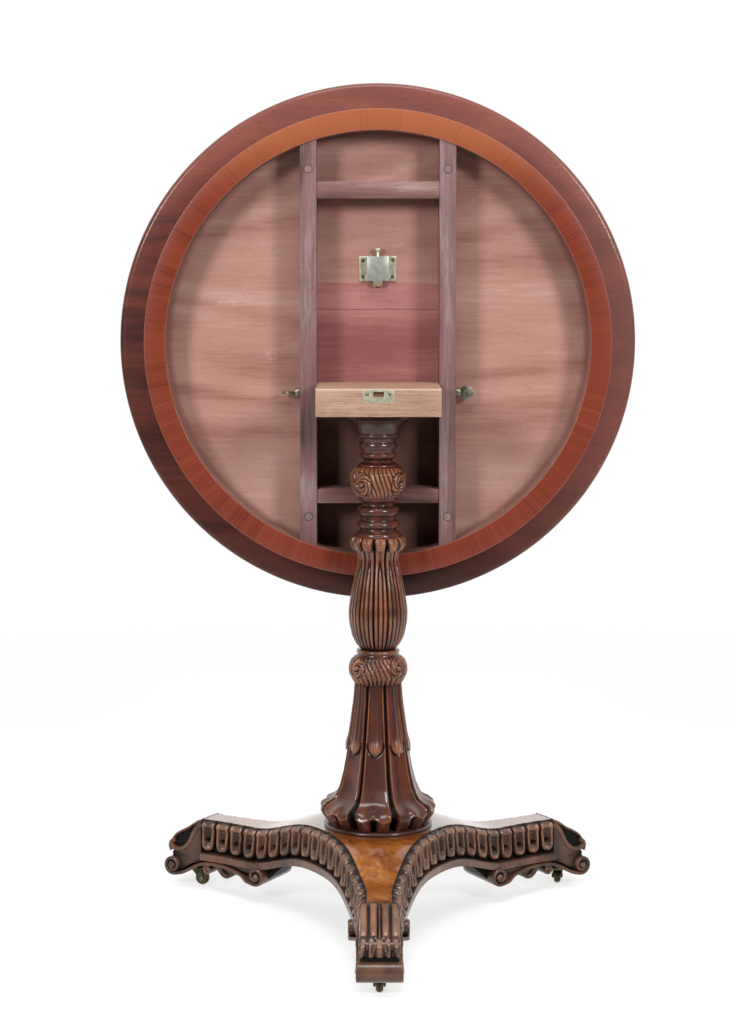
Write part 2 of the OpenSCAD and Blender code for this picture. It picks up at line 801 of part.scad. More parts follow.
module caster_screw_places() {
    for (i = [0:2], a = [60, 180, 300])
        at_arm(i) translate([caster_r, 0, caster_seat - caster_plate_t]) rotate([0, 0, a])
            translate([10, 0, 0]) rotate([180, 0, 0]) children();
}

module caster_plate(i) {
    color(dull_brass) difference() {
        at_arm(i) translate([caster_r, 0, 0]) union() {
            translate([0, 0, caster_seat - caster_plate_t]) cylinder(r = 14, h = caster_plate_t);
            translate([0, 0, crown_low - 0.4]) cylinder(r = stud_r, h = crown_t + 1.5);
            translate([0, 0, crown_low - 1.3]) cylinder(r = stud_r + 1.5, h = 1.1);
        }
        caster_screw_places() screw_hole(2.6, 1.3, 12);
    }
}

// Turns with the swivel: X runs from the swivel axis back to the wheel
module at_swivel(i) {
    at_arm(i) translate([caster_r, 0, 0]) rotate([0, 0, caster_headings[i]]) children();
}

module caster_horn(i) {
    axle_z = wheel_d / 2;
    inner = wheel_w / 2 + cheek_gap;
    color(dull_brass) at_swivel(i) difference() {
        union() {
            translate([0, 0, crown_low]) cylinder(r = 9, h = crown_t);
            for (y = [-inner - cheek_t / 2, inner + cheek_t / 2]) translate([0, y, 0])
                across(cheek_t) union() {
                    polygon([[-5, crown_top], [6, crown_top], [trail + 3.4, axle_z],
                             [trail - 3.4, axle_z], [-5, crown_low - 0.5]]);
                    translate([trail, axle_z]) circle(r = 3.4);
                }
        }
        translate([0, 0, crown_low - 5]) cylinder(r = stud_r + run_clear, h = crown_t + 6);
        translate([trail, 0, axle_z]) rotate([90, 0, 0])
            cylinder(r = axle_r + fixed_clear, h = 40, center = true);
    }
}

module caster_axle(i) {
    half = wheel_w / 2 + cheek_gap + cheek_t;
    color(steel) at_swivel(i) translate([trail, 0, wheel_d / 2]) rotate([90, 0, 0]) union() {
        cylinder(r = axle_r, h = 2 * half + 1, center = true);
        for (z = [-1, 1]) translate([0, 0, z * (half + 0.5)])
            cylinder(r = axle_r + 1, h = 0.8, center = true);
    }
}

module caster_wheel(i) {
    r = wheel_d / 2;
    w = wheel_w / 2;
    color(dull_brass) at_swivel(i) translate([trail, 0, r]) rotate([90, 0, 0])
        rotate_extrude() polygon(concat(
            [[axle_r + run_clear, -w], [r - 2.5, -w]],
            [for (k = [-3:3]) [r - 2.5 + 2.5 * cos(k * 22), w * k / 3.6]],
            [[r - 2.5, w], [axle_r + run_clear, w]]));
}

module caster_plate_front() { caster_plate(0); }
module caster_plate_right() { caster_plate(1); }
module caster_plate_left() { caster_plate(2); }
module caster_horn_front() { caster_horn(0); }
module caster_horn_right() { caster_horn(1); }
module caster_horn_left() { caster_horn(2); }
module caster_axle_front() { caster_axle(0); }
module caster_axle_right() { caster_axle(1); }
module caster_axle_left() { caster_axle(2); }
module caster_wheel_front() { caster_wheel(0); }
module caster_wheel_right() { caster_wheel(1); }
module caster_wheel_left() { caster_wheel(2); }

module caster_screws() {
    color(brass) caster_screw_places() screw(2.6, 1.3, 11);
}

table_top();
frieze_ring();
frieze_crossband();
bearer_left();
bearer_right();
cross_rail_upper();
cross_rail_lower();
bearer_plugs();
bearer_screws();
catch_plate();
catch_case();
catch_bolt();
catch_knob();
catch_spring();
catch_screws();
pivot_screw_left();
pivot_screw_right();
strike_plate();
strike_screws();
block();
column_capital();
column_upper();
column_vase();
column_lower_knop();
column_lotus();
column_base_ring();
tenon_wedge();
platform();
platform_veneer();
carved_band_right();
carved_band_left();
carved_band_back();
foot_front();
foot_right();
foot_left();
foot_dowels();
foot_screws();
caster_plate_front();
caster_plate_right();
caster_plate_left();
caster_horn_front();
caster_horn_right();
caster_horn_left();
caster_axle_front();
caster_axle_right();
caster_axle_left();
caster_wheel_front();
caster_wheel_right();
caster_wheel_left();
caster_screws();
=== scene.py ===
import math

import bmesh
import bpy
import numpy as np
from mathutils import Matrix, Vector


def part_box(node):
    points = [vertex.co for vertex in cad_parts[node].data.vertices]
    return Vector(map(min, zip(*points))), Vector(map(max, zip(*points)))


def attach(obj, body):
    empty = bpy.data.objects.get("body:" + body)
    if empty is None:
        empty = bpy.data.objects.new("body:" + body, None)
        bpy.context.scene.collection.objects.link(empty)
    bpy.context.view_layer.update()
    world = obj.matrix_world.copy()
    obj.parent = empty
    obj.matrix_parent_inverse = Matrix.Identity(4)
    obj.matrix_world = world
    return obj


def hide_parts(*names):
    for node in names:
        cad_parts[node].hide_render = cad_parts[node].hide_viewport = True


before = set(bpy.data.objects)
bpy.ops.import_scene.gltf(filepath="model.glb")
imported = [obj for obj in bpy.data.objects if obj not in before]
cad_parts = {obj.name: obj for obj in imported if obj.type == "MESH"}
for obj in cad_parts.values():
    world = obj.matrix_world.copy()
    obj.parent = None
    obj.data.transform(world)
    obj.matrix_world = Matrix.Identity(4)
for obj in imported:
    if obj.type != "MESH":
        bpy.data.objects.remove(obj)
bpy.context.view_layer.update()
MM = 0.001


def low(node):
    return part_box(node)[0]


def high(node):
    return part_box(node)[1]


# %% [markdown]
# ## The camera
# A product picture of a tall table is taken from far away with a long lens, so that the
# round top stays round. The camera stands a little above the middle of the table, looks
# slightly down, and the lens is shifted to bring the whole table into the frame. A shift
# keeps the upright lines upright, which tilting the camera further would not.
# %% Set up the camera
CAMERA_AT = (-0.018, -2.861, 0.8859)
CAMERA_PITCH = 0.0499
CAMERA_LENS = 76.35
CAMERA_SHIFT = (0.0034, -0.1483)

camera_data = bpy.data.cameras.new("camera")
camera_data.lens = CAMERA_LENS
camera_data.shift_x = CAMERA_SHIFT[0]
camera_data.shift_y = CAMERA_SHIFT[1]
camera = bpy.data.objects.new("camera", camera_data)
camera.location = CAMERA_AT
camera.rotation_euler = (math.pi / 2 - CAMERA_PITCH, 0, 0)
bpy.context.scene.collection.objects.link(camera)
bpy.context.scene.camera = camera
print("camera lens", round(camera_data.lens, 1), "mm")

# %% [markdown]
# ## Sums on sockets
# A finish in Blender is a graph of nodes, and most of the graph is plain arithmetic.
# Writing each Math node by hand hides what the sum says. So `Wire` holds one output
# socket and overloads the arithmetic signs: `1 - mask` adds a Subtract node and gives
# back its output. `Finish.node` makes every other kind of node.
# %% A class that holds a socket, and one that holds a finish


class Wire:
    """One output socket of a finish. A sum on wires adds Math nodes."""

    def __init__(self, finish, socket):
        self.finish = finish
        self.socket = socket

    def math(self, operation, *values):
        sockets = dict(enumerate(values))
        return self.finish.node("ShaderNodeMath", {"operation": operation}, sockets)

    def __add__(self, other):
        return self.math("ADD", self, other)

    def __radd__(self, other):
        return self.math("ADD", other, self)

    def __sub__(self, other):
        return self.math("SUBTRACT", self, other)

    def __rsub__(self, other):
        return self.math("SUBTRACT", other, self)

    def __mul__(self, other):
        return self.math("MULTIPLY", self, other)

    def __rmul__(self, other):
        return self.math("MULTIPLY", other, self)

    def __truediv__(self, other):
        return self.math("DIVIDE", self, other)

    def __pow__(self, other):
        return self.math("POWER", self, other)

    def __abs__(self):
        return self.math("ABSOLUTE", self)

    def sine(self):
        return self.math("SINE", self)

    def most(self, other):
        return self.math("MAXIMUM", self, other)

    def ramp(self, start, end):
        """0 below start, 1 above end, and a smooth slope between. Start may be the larger."""
        sockets = {"Value": self, "From Min": start, "From Max": end}
        settings = {"interpolation_type": "SMOOTHSTEP"}
        return self.finish.node("ShaderNodeMapRange", settings, sockets)


def linear(code):
    """The linear colour that a six digit screen colour stands for."""
    parts = [int(code[i:i + 2], 16) / 255 for i in (1, 3, 5)]
    return tuple(p / 12.92 if p <= 0.04045 else ((p + 0.055) / 1.055) ** 2.4 for p in parts)


class Finish:
    """A material that is being built up."""

    def __init__(self, name, **constants):
        self.material = bpy.data.materials.new(name)
        self.material.use_nodes = True
        self.tree = self.material.node_tree
        self.shader = self.tree.nodes["Principled BSDF"]
        for socket, value in constants.items():
            self.feed(self.shader.inputs[socket.replace("_", " ")], value)

    def feed(self, socket, value):
        if isinstance(value, Wire):
            self.tree.links.new(value.socket, socket)
        elif isinstance(value, str):
            socket.default_value = (*linear(value), 1)
        else:
            socket.default_value = value

    def node(self, kind, settings=None, sockets=None, out=0):
        node = self.tree.nodes.new(kind)
        for key, value in (settings or {}).items():
            setattr(node, key, value)
        for key, value in (sockets or {}).items():
            self.feed(node.inputs[key], value)
        return Wire(self, node.outputs[out])

    def place(self):
        return self.node("ShaderNodeTexCoord", out="Object")

    def axes(self):
        """X, Y and Z of the point being shaded, as three wires in metres."""
        split = self.node("ShaderNodeSeparateXYZ", None, {0: self.place()})
        return [Wire(self, out) for out in split.socket.node.outputs]

    def mapped(self, scale, turn=(0, 0, 0), vector=None):
        sockets = {"Vector": vector or self.place(), "Rotation": turn, "Scale": scale}
        return self.node("ShaderNodeMapping", None, sockets)

    def noise(self, vector, scale, detail=2.0, rough=0.5, warp=0.0):
        sockets = {"Vector": vector, "Scale": scale, "Detail": detail, "Roughness": rough,
                   "Distortion": warp}
        return self.node("ShaderNodeTexNoise", None, sockets)

    def mix(self, share, first, second, blend="MIX"):
        settings = {"data_type": "RGBA", "blend_type": blend}
        return self.node("ShaderNodeMix", settings, {0: share, 6: first, 7: second}, out=2)

    def attribute(self, name):
        return self.node("ShaderNodeAttribute", {"attribute_name": name}, out="Fac")

    def bump(self, height, strength, depth):
        sockets = {"Height": height, "Strength": strength, "Distance": depth}
        return self.node("ShaderNodeBump", None, sockets, out="Normal")

    def wear(self, colour, rough, normal):
        """Joins the colour, the roughness and the normal to the shader."""
        self.feed(self.shader.inputs["Base Color"], colour)
        self.feed(self.shader.inputs["Roughness"], rough)
        self.feed(self.shader.inputs["Normal"], normal)
        return self.material


print("a brown in linear light:", [round(c, 3) for c in linear("#7a4a30")])

# %% [markdown]
# ## Light and floor
# The table stands in a white studio. The white lies behind it, so the room on the
# camera's side is dim and the cuts of the carving stay black. Two soft boxes, left and
# right of the camera and a little above it, throw the two shadows that lie beside each
# bearer, and a third, weaker one hangs over the table. The pale edges of the turned wood
# are the surround seen at a glancing angle.
# %% Build the studio
SIDE_BOX = (1.72, -2.24, 1.70)
SIDE_BOX_POWER = 46
OVER_BOX_POWER = 30
FLOOR_SIZE = 3
world = bpy.data.worlds.new("studio")
world.use_nodes = True
bpy.context.scene.world = world
sky = world.node_tree
surround = sky.nodes["Background"]


def sky_node(kind, sockets, **settings):
    node = sky.nodes.new(kind)
    for key, value in settings.items():
        setattr(node, key, value)
    for key, value in sockets.items():
        if isinstance(value, bpy.types.NodeSocket):
            sky.links.new(value, node.inputs[key])
        else:
            node.inputs[key].default_value = value
    return node.outputs[0]


aim_of_ray = sky.nodes.new("ShaderNodeTexCoord").outputs["Generated"]
parts = sky.nodes.new("ShaderNodeSeparateXYZ")
sky.links.new(aim_of_ray, parts.inputs[0])
behind = sky_node("ShaderNodeMapRange", {"Value": parts.outputs["Y"], "From Min": -0.15,
                                         "From Max": 0.5, "To Min": 0.02, "To Max": 1.0})
above = sky_node("ShaderNodeMapRange", {"Value": parts.outputs["Z"], "From Min": 0.25,
                                        "From Max": 1.0, "To Min": 0.0, "To Max": 0.2})
glow = sky_node("ShaderNodeMath", {0: behind, 1: above}, operation="MAXIMUM")
seen = sky.nodes.new("ShaderNodeLightPath").outputs["Is Camera Ray"]
level = sky_node("ShaderNodeMix", {0: seen, 2: glow, 3: 1.0}, data_type="FLOAT")
sky.links.new(level, surround.inputs["Strength"])
surround.inputs["Color"].default_value = (1, 1, 1, 1)


def soft_box(name, at, towards, width, height, power):
    data = bpy.data.lights.new(name, "AREA")
    data.shape = "RECTANGLE"
    data.size = width
    data.size_y = height
    data.energy = power
    box = bpy.data.objects.new(name, data)
    box.location = at
    box.rotation_euler = (Vector(towards) - Vector(at)).to_track_quat("-Z", "Y").to_euler()
    bpy.context.scene.collection.objects.link(box)
    return box


for name, side in (("box_left", -1), ("box_right", 1)):
    at = (side * SIDE_BOX[0], SIDE_BOX[1], SIDE_BOX[2])
    soft_box(name, at, (0, 0, 0.65), 0.62, 0.75, SIDE_BOX_POWER)
soft_box("box_over", (0, -0.9, 2.8), (0, 0, 0.4), 1.4, 1.0, OVER_BOX_POWER)
bpy.context.scene.view_settings.view_transform = "Standard"

floor_finish = Finish("studio_floor", Base_Color="#f4f4f3", Roughness=0.9,
                      Emission_Color="#ffffff", Emission_Strength=0.3)
spread = floor_finish.mapped((1, 1, 0))
far_out = floor_finish.node("ShaderNodeVectorMath", {"operation": "LENGTH"}, {0: spread},
                            out="Value")
floor_finish.feed(floor_finish.shader.inputs["Alpha"], far_out.ramp(2.6, 1.0) * 0.5)
slab = bmesh.new()
bmesh.ops.create_grid(slab, x_segments=2, y_segments=2, size=FLOOR_SIZE)
floor_mesh = bpy.data.meshes.new("floor")
slab.to_mesh(floor_mesh)
slab.free()
floor = bpy.data.objects.new("floor", floor_mesh)
floor.data.materials.append(floor_finish.material)
bpy.context.scene.collection.objects.link(floor)
print("studio: 3 soft boxes")

# %% [markdown]
# ## Landmarks
# Every place in the lesson comes from the frame. The middle of the top, the face of its
# underside, the levels where one turned section of the column ends and the next begins
# are all read off the boxes of the frame's nodes.
# %% Read the landmarks
board_low = low("table_top")
board_high = high("table_top")
top_r = (board_high.x - board_low.x) / 2
top_mid_z = (board_high.z + board_low.z) / 2
under_y = high("frieze_ring").y
face_y = board_high.y
ring_face_y = low("frieze_crossband").y
ring_out_r = high("frieze_ring").x
bearer_in = low("bearer_right").x
ring_in_r = (high("bearer_right").z - low("bearer_right").z) / 2 + 0.1 * MM
ring_in_r = math.hypot(ring_in_r, bearer_in)
block_low = low("block")
block_high = high("block")
crown_z = high("platform").z + 1 * MM
ring_z = high("column_base_ring").z
lotus_top = low("column_lower_knop").z
knop_top = low("column_vase").z
vase_top = low("column_upper").z
print("top", round(top_r * 2000), "mm across, ring inside", round(ring_in_r * 1000, 1), "mm")

# %% [markdown]
# ## Timber
# Sawn wood shows three things at three scales. Broad bands wander along the board where
# the saw cut across the growth rings. Fine fibres run dead along it. Tiny pores break the
# surface. All three are noise that has been stretched along the grain. The bands are the
# contour lines of a slow noise, which is what a sawn ring really is.
# %% A function that lays grain into a finish
STRETCH = 0.07


def grain(finish, along, size=1.0, turn=(0, 0, 0)):
    """Bands, fibres and pores along one axis, each from 0 to 1."""
    scale = [1.0, 1.0, 1.0]
    scale[along] = STRETCH
    fine = finish.mapped(scale, turn)
    scale[along] = 0.22
    slow = finish.mapped(scale, turn)
    field = finish.noise(slow, 5.0 / size, 2.0, 0.45, 0.6)
    bands = (field * 58.0).sine() * 0.5 + 0.5
    fibres = finish.noise(fine, 260.0 / size, 3.0, 0.6)
    pores = finish.noise(fine, 1500.0, 1.0, 0.5).ramp(0.60, 0.72)
    return bands, fibres, pores


def timber(name, along, deep, middle, pale, rough=0.5, pore=0.35, size=1.0, turn=(0, 0, 0)):
    """A plain finish of one wood with its grain along one axis."""
    finish = Finish(name)
    bands, fibres, pores = grain(finish, along, size, turn)
    cloud = finish.noise(finish.place(), 9.0, 3.0)
    tone = bands * 0.28 + fibres * 0.5 + cloud * 0.34 - 0.06
    colour = finish.mix(tone.ramp(0.2, 0.52), deep, middle)
    colour = finish.mix(tone.ramp(0.5, 0.86), colour, pale)
    colour = finish.mix(pores * pore, colour, deep)
    height = fibres * 0.6 - pores
    return finish.wear(colour, fibres * 0.16 + rough, finish.bump(height, 0.25, 0.0004))


bearer_wood = timber("bearer_wood", 2, "#4d3432", "#7d5a58", "#a28c8c", 0.62, 0.5)
rail_wood = timber("rail_wood", 0, "#553632", "#825a53", "#aa8a84", 0.62, 0.5)
print("timber:", bearer_wood.name, "and", rail_wood.name)

# %% [markdown]
# ## Pieces from turned outlines
# The round top and the ring below it are turned pieces: one outline, spun once round.
# `turned` spins a row of points about the upright axis, and `stand_up` puts what was
# modelled lying flat onto the upright board, with its depth towards the viewer.
# Each finished piece goes through `keep`, which gives it a finish, hangs it on the body it
# moves with and hides the plain node of the frame that it stands for.
# %% Functions for turning a piece and for keeping it
stand_up = Matrix.Translation((0, under_y, top_mid_z)) @ Matrix.Rotation(math.pi / 2, 4, "X")


def turned(outline, steps, closed=False):
    """Spins (radius, height) points once round the upright axis."""
    bm = bmesh.new()
    row = [bm.verts.new((r, 0, z)) for r, z in outline]
    pairs = list(zip(row, row[1:])) + ([(row[-1], row[0])] if closed else [])
    edges = [bm.edges.new(pair) for pair in pairs]
    bmesh.ops.spin(bm, geom=row + edges, cent=(0, 0, 0), axis=(0, 0, 1),
                   angle=2 * math.pi, steps=steps, use_merge=True)
    bmesh.ops.remove_doubles(bm, verts=bm.verts, dist=1e-7)
    bmesh.ops.recalc_face_normals(bm, faces=bm.faces)
    return bm


def keep(name, bm, body, slot, material, *stands_for, smooth=38, place=None):
    """Makes the bmesh a piece of the table."""
    if place is not None:
        bmesh.ops.transform(bm, matrix=place, verts=bm.verts)
    mesh = bpy.data.meshes.new(name)
    bm.to_mesh(mesh)
    bm.free()
    mesh.materials.append(material)
    mesh.shade_smooth()
    mesh.set_sharp_from_angle(angle=math.radians(smooth))
    piece = bpy.data.objects.new(name, mesh)
    bpy.context.scene.collection.objects.link(piece)
    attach(piece, body)
    if stands_for:
        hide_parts(*stands_for)
    triangles = sum(len(p.vertices) - 2 for p in mesh.polygons)
    print(f"{name}: {triangles} triangles")
    return piece


def arc(centre_r, centre_z, radius, start, end, steps):
    """Points of a round corner in an outline, angles in degrees."""
    turns = [math.radians(start + (end - start) * i / steps) for i in range(steps + 1)]
    return [(centre_r + radius * math.cos(t), centre_z + radius * math.sin(t)) for t in turns]


# %% [markdown]
# ## The top
# The top is a round board of mahogany with both corners of its edge rounded over. The
# face that is polished looks away from the viewer while the table is tilted. What shows
# is the underside: raw pinkish boards inside the ring, polished dark wood outside it,
# and a redder patch between the bearers where the block has kept the light off.
# %% Make the top and its finish
EDGE_R = 7 * MM
board_t = face_y - under_y
board_outline = [(0, -board_t), (0.2, -board_t)]
board_outline += arc(top_r - EDGE_R, -board_t + EDGE_R, EDGE_R, -90, 0, 6)
board_outline += arc(top_r - EDGE_R, -EDGE_R, EDGE_R, 0, 90, 6)
board_outline += [(ring_out_r, 0), (ring_in_r, 0), (0.1, 0), (0, 0)]


def top_finish():
    finish = Finish("top_mahogany", Coat_Roughness=0.12, Specular_IOR_Level=0.3)
    bands, fibres, pores = grain(finish, 0, 1.3)
    x, y, z = finish.axes()
    up = z - top_mid_z
    out = (x * x + up * up) ** 0.5
    cloud = finish.noise(finish.place(), 7.0, 4.0, 0.6)
    boards = finish.noise(finish.mapped((0.25, 1, 2.2)), 3.1, 1.0)
    tone = bands * 0.22 + fibres * 0.42 + cloud * 0.3 + boards * 0.36 - 0.2
    raw = finish.mix(tone.ramp(0.1, 0.5), "#905f53", "#b08476")
    raw = finish.mix(tone.ramp(0.45, 0.85), raw, "#cca79b")
    # the strip nearest the bottom of the board is a greyer plank
    raw = finish.mix((up + cloud * 0.03).ramp(-0.11, -0.16) * 0.35, raw, "#a08272")
    # chalky rubs and old marks
    rubs = finish.noise(finish.mapped((0.8, 1, 1.4)), 11.0, 6.0, 0.75).ramp(0.60, 0.76)
    raw = finish.mix(rubs * 0.4, raw, "#dcc4ba")
    stains = finish.noise(finish.mapped((1.3, 1, 0.8)), 8.0, 5.0, 0.7).ramp(0.66, 0.8)
    raw = finish.mix(stains * 0.3, raw, "#7a4638")
    # the patch that the block covers when the top is down
    patch_top = block_high.z + (block_high.y - block_low.y) - 28 * MM
    within = abs(x).ramp(bearer_in + 1 * MM, bearer_in - 1 * MM)
    patch = within * (z + fibres * 0.002).ramp(patch_top + 1.5 * MM, patch_top - 1.5 * MM)
    patch = patch * z.ramp(block_low.z - 2 * MM, block_low.z)
    raw = finish.mix(patch * 0.78, raw, finish.mix(tone.ramp(0.2, 0.7), "#834848", "#a86c6a"))
    joint = abs(z - (patch_top - 37 * MM)).ramp(1.0 * MM, 0.2 * MM) * within
    raw = finish.mix(joint * 0.6, raw, "#4a231c")
    above = within * z.ramp(patch_top, patch_top + 4 * MM)
    raw = finish.mix(above * 0.3, raw, "#a87a70")
    # painted shade: the board below the block is darkened, as in the block's shadow
    below = within * z.ramp(block_low.z + 4 * MM, block_low.z - 20 * MM)
    raw = finish.mix(below * 0.8, raw, "#3a130c")
    # painted shade: the board is darkened for a little way in from the foot of the ring, as shade in
    # the corner
    raw = finish.mix(out.ramp(ring_in_r - 9 * MM, ring_in_r) * 0.5, raw, "#6b4234")
    polish = finish.mix(tone.ramp(0.1, 0.8), "#3d1812", "#7b3a2a")
    # painted light and shade: the overhang is painted paler towards its top and on its right, and
    # darker towards its bottom, as the light falls on it
    facing = y.ramp(face_y - 4 * MM, face_y - 8 * MM)
    polish = finish.mix(up.ramp(0.08, 0.33) * facing * 0.4, polish, "#a5665a")
    polish = finish.mix(up.ramp(-0.15, -0.34) * facing * 0.5, polish, "#2e130e")
    polish = finish.mix(x.ramp(0.1, 0.34) * facing * 0.35, polish, "#b07266")
    polish = finish.mix(pores * 0.35, polish, "#240d09")
    shown = out.ramp(ring_in_r + 3 * MM, ring_in_r + 1 * MM)
    shown = shown * y.ramp(under_y + 3 * MM, under_y + 1 * MM)
    colour = finish.mix(shown, polish, finish.mix(pores * 0.25, raw, "#6b4132"))
    finish.feed(finish.shader.inputs["Coat Weight"], (1 - shown) * 0.3)
    rough = 0.42 + shown * 0.28 + fibres * 0.1
    return finish.wear(colour, rough, finish.bump(fibres * 0.6 - pores, 0.22, 0.0004))


top_wood = top_finish()
keep("round_top", turned(board_outline, 256), "top", "top_mahogany", top_wood,
     "table_top", place=stand_up)

# %% [markdown]
# ## The ring under the top
# A deep ring is glued under the board, and its face carries a band of veneer whose grain
# runs outwards, cut in short lengths. Such radial grain needs no seam if the noise reads
# the direction from the centre, since a direction meets itself after a full turn.
# %% Make the ring and its two finishes
ring_depth = under_y - ring_face_y
BAND_T = 1.2 * MM
CORNER = 0.6 * MM


def ring_outline(bottom, top, ease):
    """The closed section of a ring between two depths, its front corners eased."""
    rim = [(ring_in_r, bottom), (ring_out_r, bottom)]
    rim += arc(ring_out_r - ease, top - ease, ease, 0, 90, 3)
    rim += arc(ring_in_r + ease, top - ease, ease, 90, 180, 3)
    return rim


def from_centre(finish):
    """The direction from the middle of the board, and the distance."""
    sockets = {"Vector": finish.place(), "Location": (0, 0, -top_mid_z), "Scale": (1, 0, 1)}
    flat = finish.node("ShaderNodeMapping", None, sockets)
    settings = {"operation": "LENGTH"}
    far = finish.node("ShaderNodeVectorMath", settings, {0: flat}, out="Value")
    aim = finish.node("ShaderNodeVectorMath", {"operation": "NORMALIZE"}, {0: flat})
    return aim, far


def crossband_finish():
    finish = Finish("crossband_veneer", Coat_Roughness=0.2, Specular_IOR_Level=0.3)
    aim, far = from_centre(finish)
    rays = finish.noise(aim, 190.0, 3.0, 0.6)
    slow = finish.noise(aim, 26.0, 3.0, 0.5)
    # each short length of veneer has a tone of its own
    settings = {"feature": "F1", "voronoi_dimensions": "3D"}
    lengths = finish.node("ShaderNodeTexVoronoi", settings, {"Vector": aim, "Scale": 5.0}, out=1)
    split = finish.node("ShaderNodeSeparateColor", None, {0: lengths})
    pores = finish.noise(finish.place(), 900.0, 1.0).ramp(0.62, 0.74)
    tone = rays * 0.75 + slow * 0.45 + split * 0.12 - 0.18
    colour = finish.mix(tone.ramp(0.15, 0.5), "#5a2112", "#7f3520")
    colour = finish.mix(tone.ramp(0.5, 0.85), colour, "#9d5233")
    colour = finish.mix(pores * 0.3, colour, "#5c2a19")
    up = finish.axes()[2] - top_mid_z
    colour = finish.mix(up.ramp(0.17, 0.30) * 0.6, colour, "#b56a44")
    # painted highlight: a pale line along the inner and outer edges of the veneer, where its corners
    # catch the light
    edge = far.ramp(ring_in_r + 1.2 * MM, ring_in_r).most(far.ramp(ring_out_r - 1.2 * MM, ring_out_r))
    colour = finish.mix(edge * 0.4, colour, "#c08a70")
    # the seam between two lengths is a fine dark line
    settings = {"feature": "DISTANCE_TO_EDGE"}
    seam = finish.node("ShaderNodeTexVoronoi", settings, {"Vector": aim, "Scale": 5.0})
    colour = finish.mix(seam.ramp(0.009, 0.003) * 0.2, colour, "#43200f")
    finish.feed(finish.shader.inputs["Coat Weight"], 0.35)
    return finish.wear(colour, 0.34 + rays * 0.12, finish.bump(rays, 0.1, 0.0003))


def ring_finish():
    """Polished outside, bare and chalky inside."""
    finish = Finish("ring_mahogany", Coat_Roughness=0.15)
    far = from_centre(finish)[1]
    along = finish.noise(finish.mapped((1, 14, 1)), 30.0, 4.0, 0.6)
    cloud = finish.noise(finish.place(), 14.0, 4.0, 0.6)
    inside = far.ramp(ring_in_r + 2 * MM, ring_in_r + 1 * MM)
    bare = finish.mix((along * 0.6 + cloud * 0.5).ramp(0.3, 0.8), "#6b4338", "#9a7468")
    polished = finish.mix((along * 0.7 + cloud * 0.4).ramp(0.3, 0.8), "#3a160f", "#7d3c28")
    colour = finish.mix(inside, polished, bare)
    finish.feed(finish.shader.inputs["Coat Weight"], (1 - inside) * 0.4)
    return finish.wear(colour, 0.36 + inside * 0.3, finish.bump(along, 0.15, 0.0004))


keep("ring_wall", turned(ring_outline(0, ring_depth - BAND_T, 0.05 * MM), 256, closed=True),
     "top", "ring_mahogany", ring_finish(), "frieze_ring", place=stand_up)
keep("ring_face", turned(ring_outline(ring_depth - BAND_T, ring_depth, CORNER), 256, closed=True),
     "top", "crossband_veneer", crossband_finish(), "frieze_crossband", place=stand_up)

# %% [markdown]
# ## Sawn and planed pieces
# The block, the bearers and the rails already have the right shape in the frame, but
# their edges are perfectly sharp, and no planed edge is. Each one is copied, its loose
# triangles are joined into faces again, and every sharp edge gets a small round bevel
# that catches the light.
# %% A function that eases the edges of a frame node


def joined_copy(node):
    """A bmesh of a node with its loose triangles joined into flat faces again."""
    bm = bmesh.new()
    bm.from_mesh(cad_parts[node].data)
    bmesh.ops.remove_doubles(bm, verts=bm.verts, dist=2e-6)
    bmesh.ops.dissolve_limit(bm, angle_limit=math.radians(0.4), verts=bm.verts, edges=bm.edges)
    return bm


def ease(bm, width, segments=2, sharper=32, chosen=None):
    """Rounds over the edges that are sharper than an angle in degrees."""
    limit = math.radians(sharper)
    edges = [e for e in bm.edges if len(e.link_faces) == 2 and e.calc_face_angle(0) > limit]
    if chosen:
        edges = [e for e in edges if chosen(e)]
    bmesh.ops.bevel(bm, geom=edges, offset=width, offset_type="OFFSET", segments=segments,
                    profile=0.5, affect="EDGES", clamp_overlap=True, material=-1)
    return bm


def eased(name, node, body, slot, material, width=0.5 * MM, sharper=32):
    bm = ease(joined_copy(node), width, 2, sharper)
    return keep(name, bm, body, slot, material, node, smooth=30)


for side in ("left", "right"):
    eased("planed_bearer_" + side, "bearer_" + side, "top", "bearer_wood", bearer_wood, 0.7 * MM)
for place in ("upper", "lower"):
    eased("planed_rail_" + place, "cross_rail_" + place, "top", "bearer_wood", rail_wood,
          0.7 * MM)

# %% [markdown]
# ## The block
# The block is a plain piece of pale oak. Oak has coarse open pores and, cut this way, a
# flame of wavy bands. The front upper edge is paler.
# %% Make the block's finish


def oak_finish():
    finish = Finish("block_oak")
    fibres = grain(finish, 0, 0.8)[1]
    y, z = finish.axes()[1:]
    wave = finish.noise(finish.mapped((0.5, 1, 1)), 16.0, 3.0, 0.5)
    flame = ((z + wave * 0.02 + y * 0.25) * 2600.0).sine() * 0.5 + 0.5
    specks = finish.noise(finish.mapped((0.09, 1, 1)), 700.0, 2.0, 0.6).ramp(0.55, 0.7)
    cloud = finish.noise(finish.place(), 14.0, 4.0)
    tone = flame * 0.16 + fibres * 0.5 + cloud * 0.36
    colour = finish.mix(tone.ramp(0.2, 0.85), "#976f56", "#c9a68c")
    colour = finish.mix(specks * 0.55, colour, "#7c5642")
    dark = finish.mix(cloud.ramp(0.62, 0.75) * 0.4, colour, "#8a6040")
    # the front upper edge is paler
    pale_front_edge = y.ramp(block_low.y + 2 * MM, block_low.y) * z.ramp(block_high.z - 3 * MM, block_high.z)
    colour = finish.mix(pale_front_edge * 0.7, dark, "#e6d2bc")
    return finish.wear(colour, 0.6 + fibres * 0.1, finish.bump(fibres - specks, 0.35, 0.0006))


block_oak = oak_finish()
eased("oak_block", "block", "base", "block_oak", block_oak, 1.1 * MM, 50)

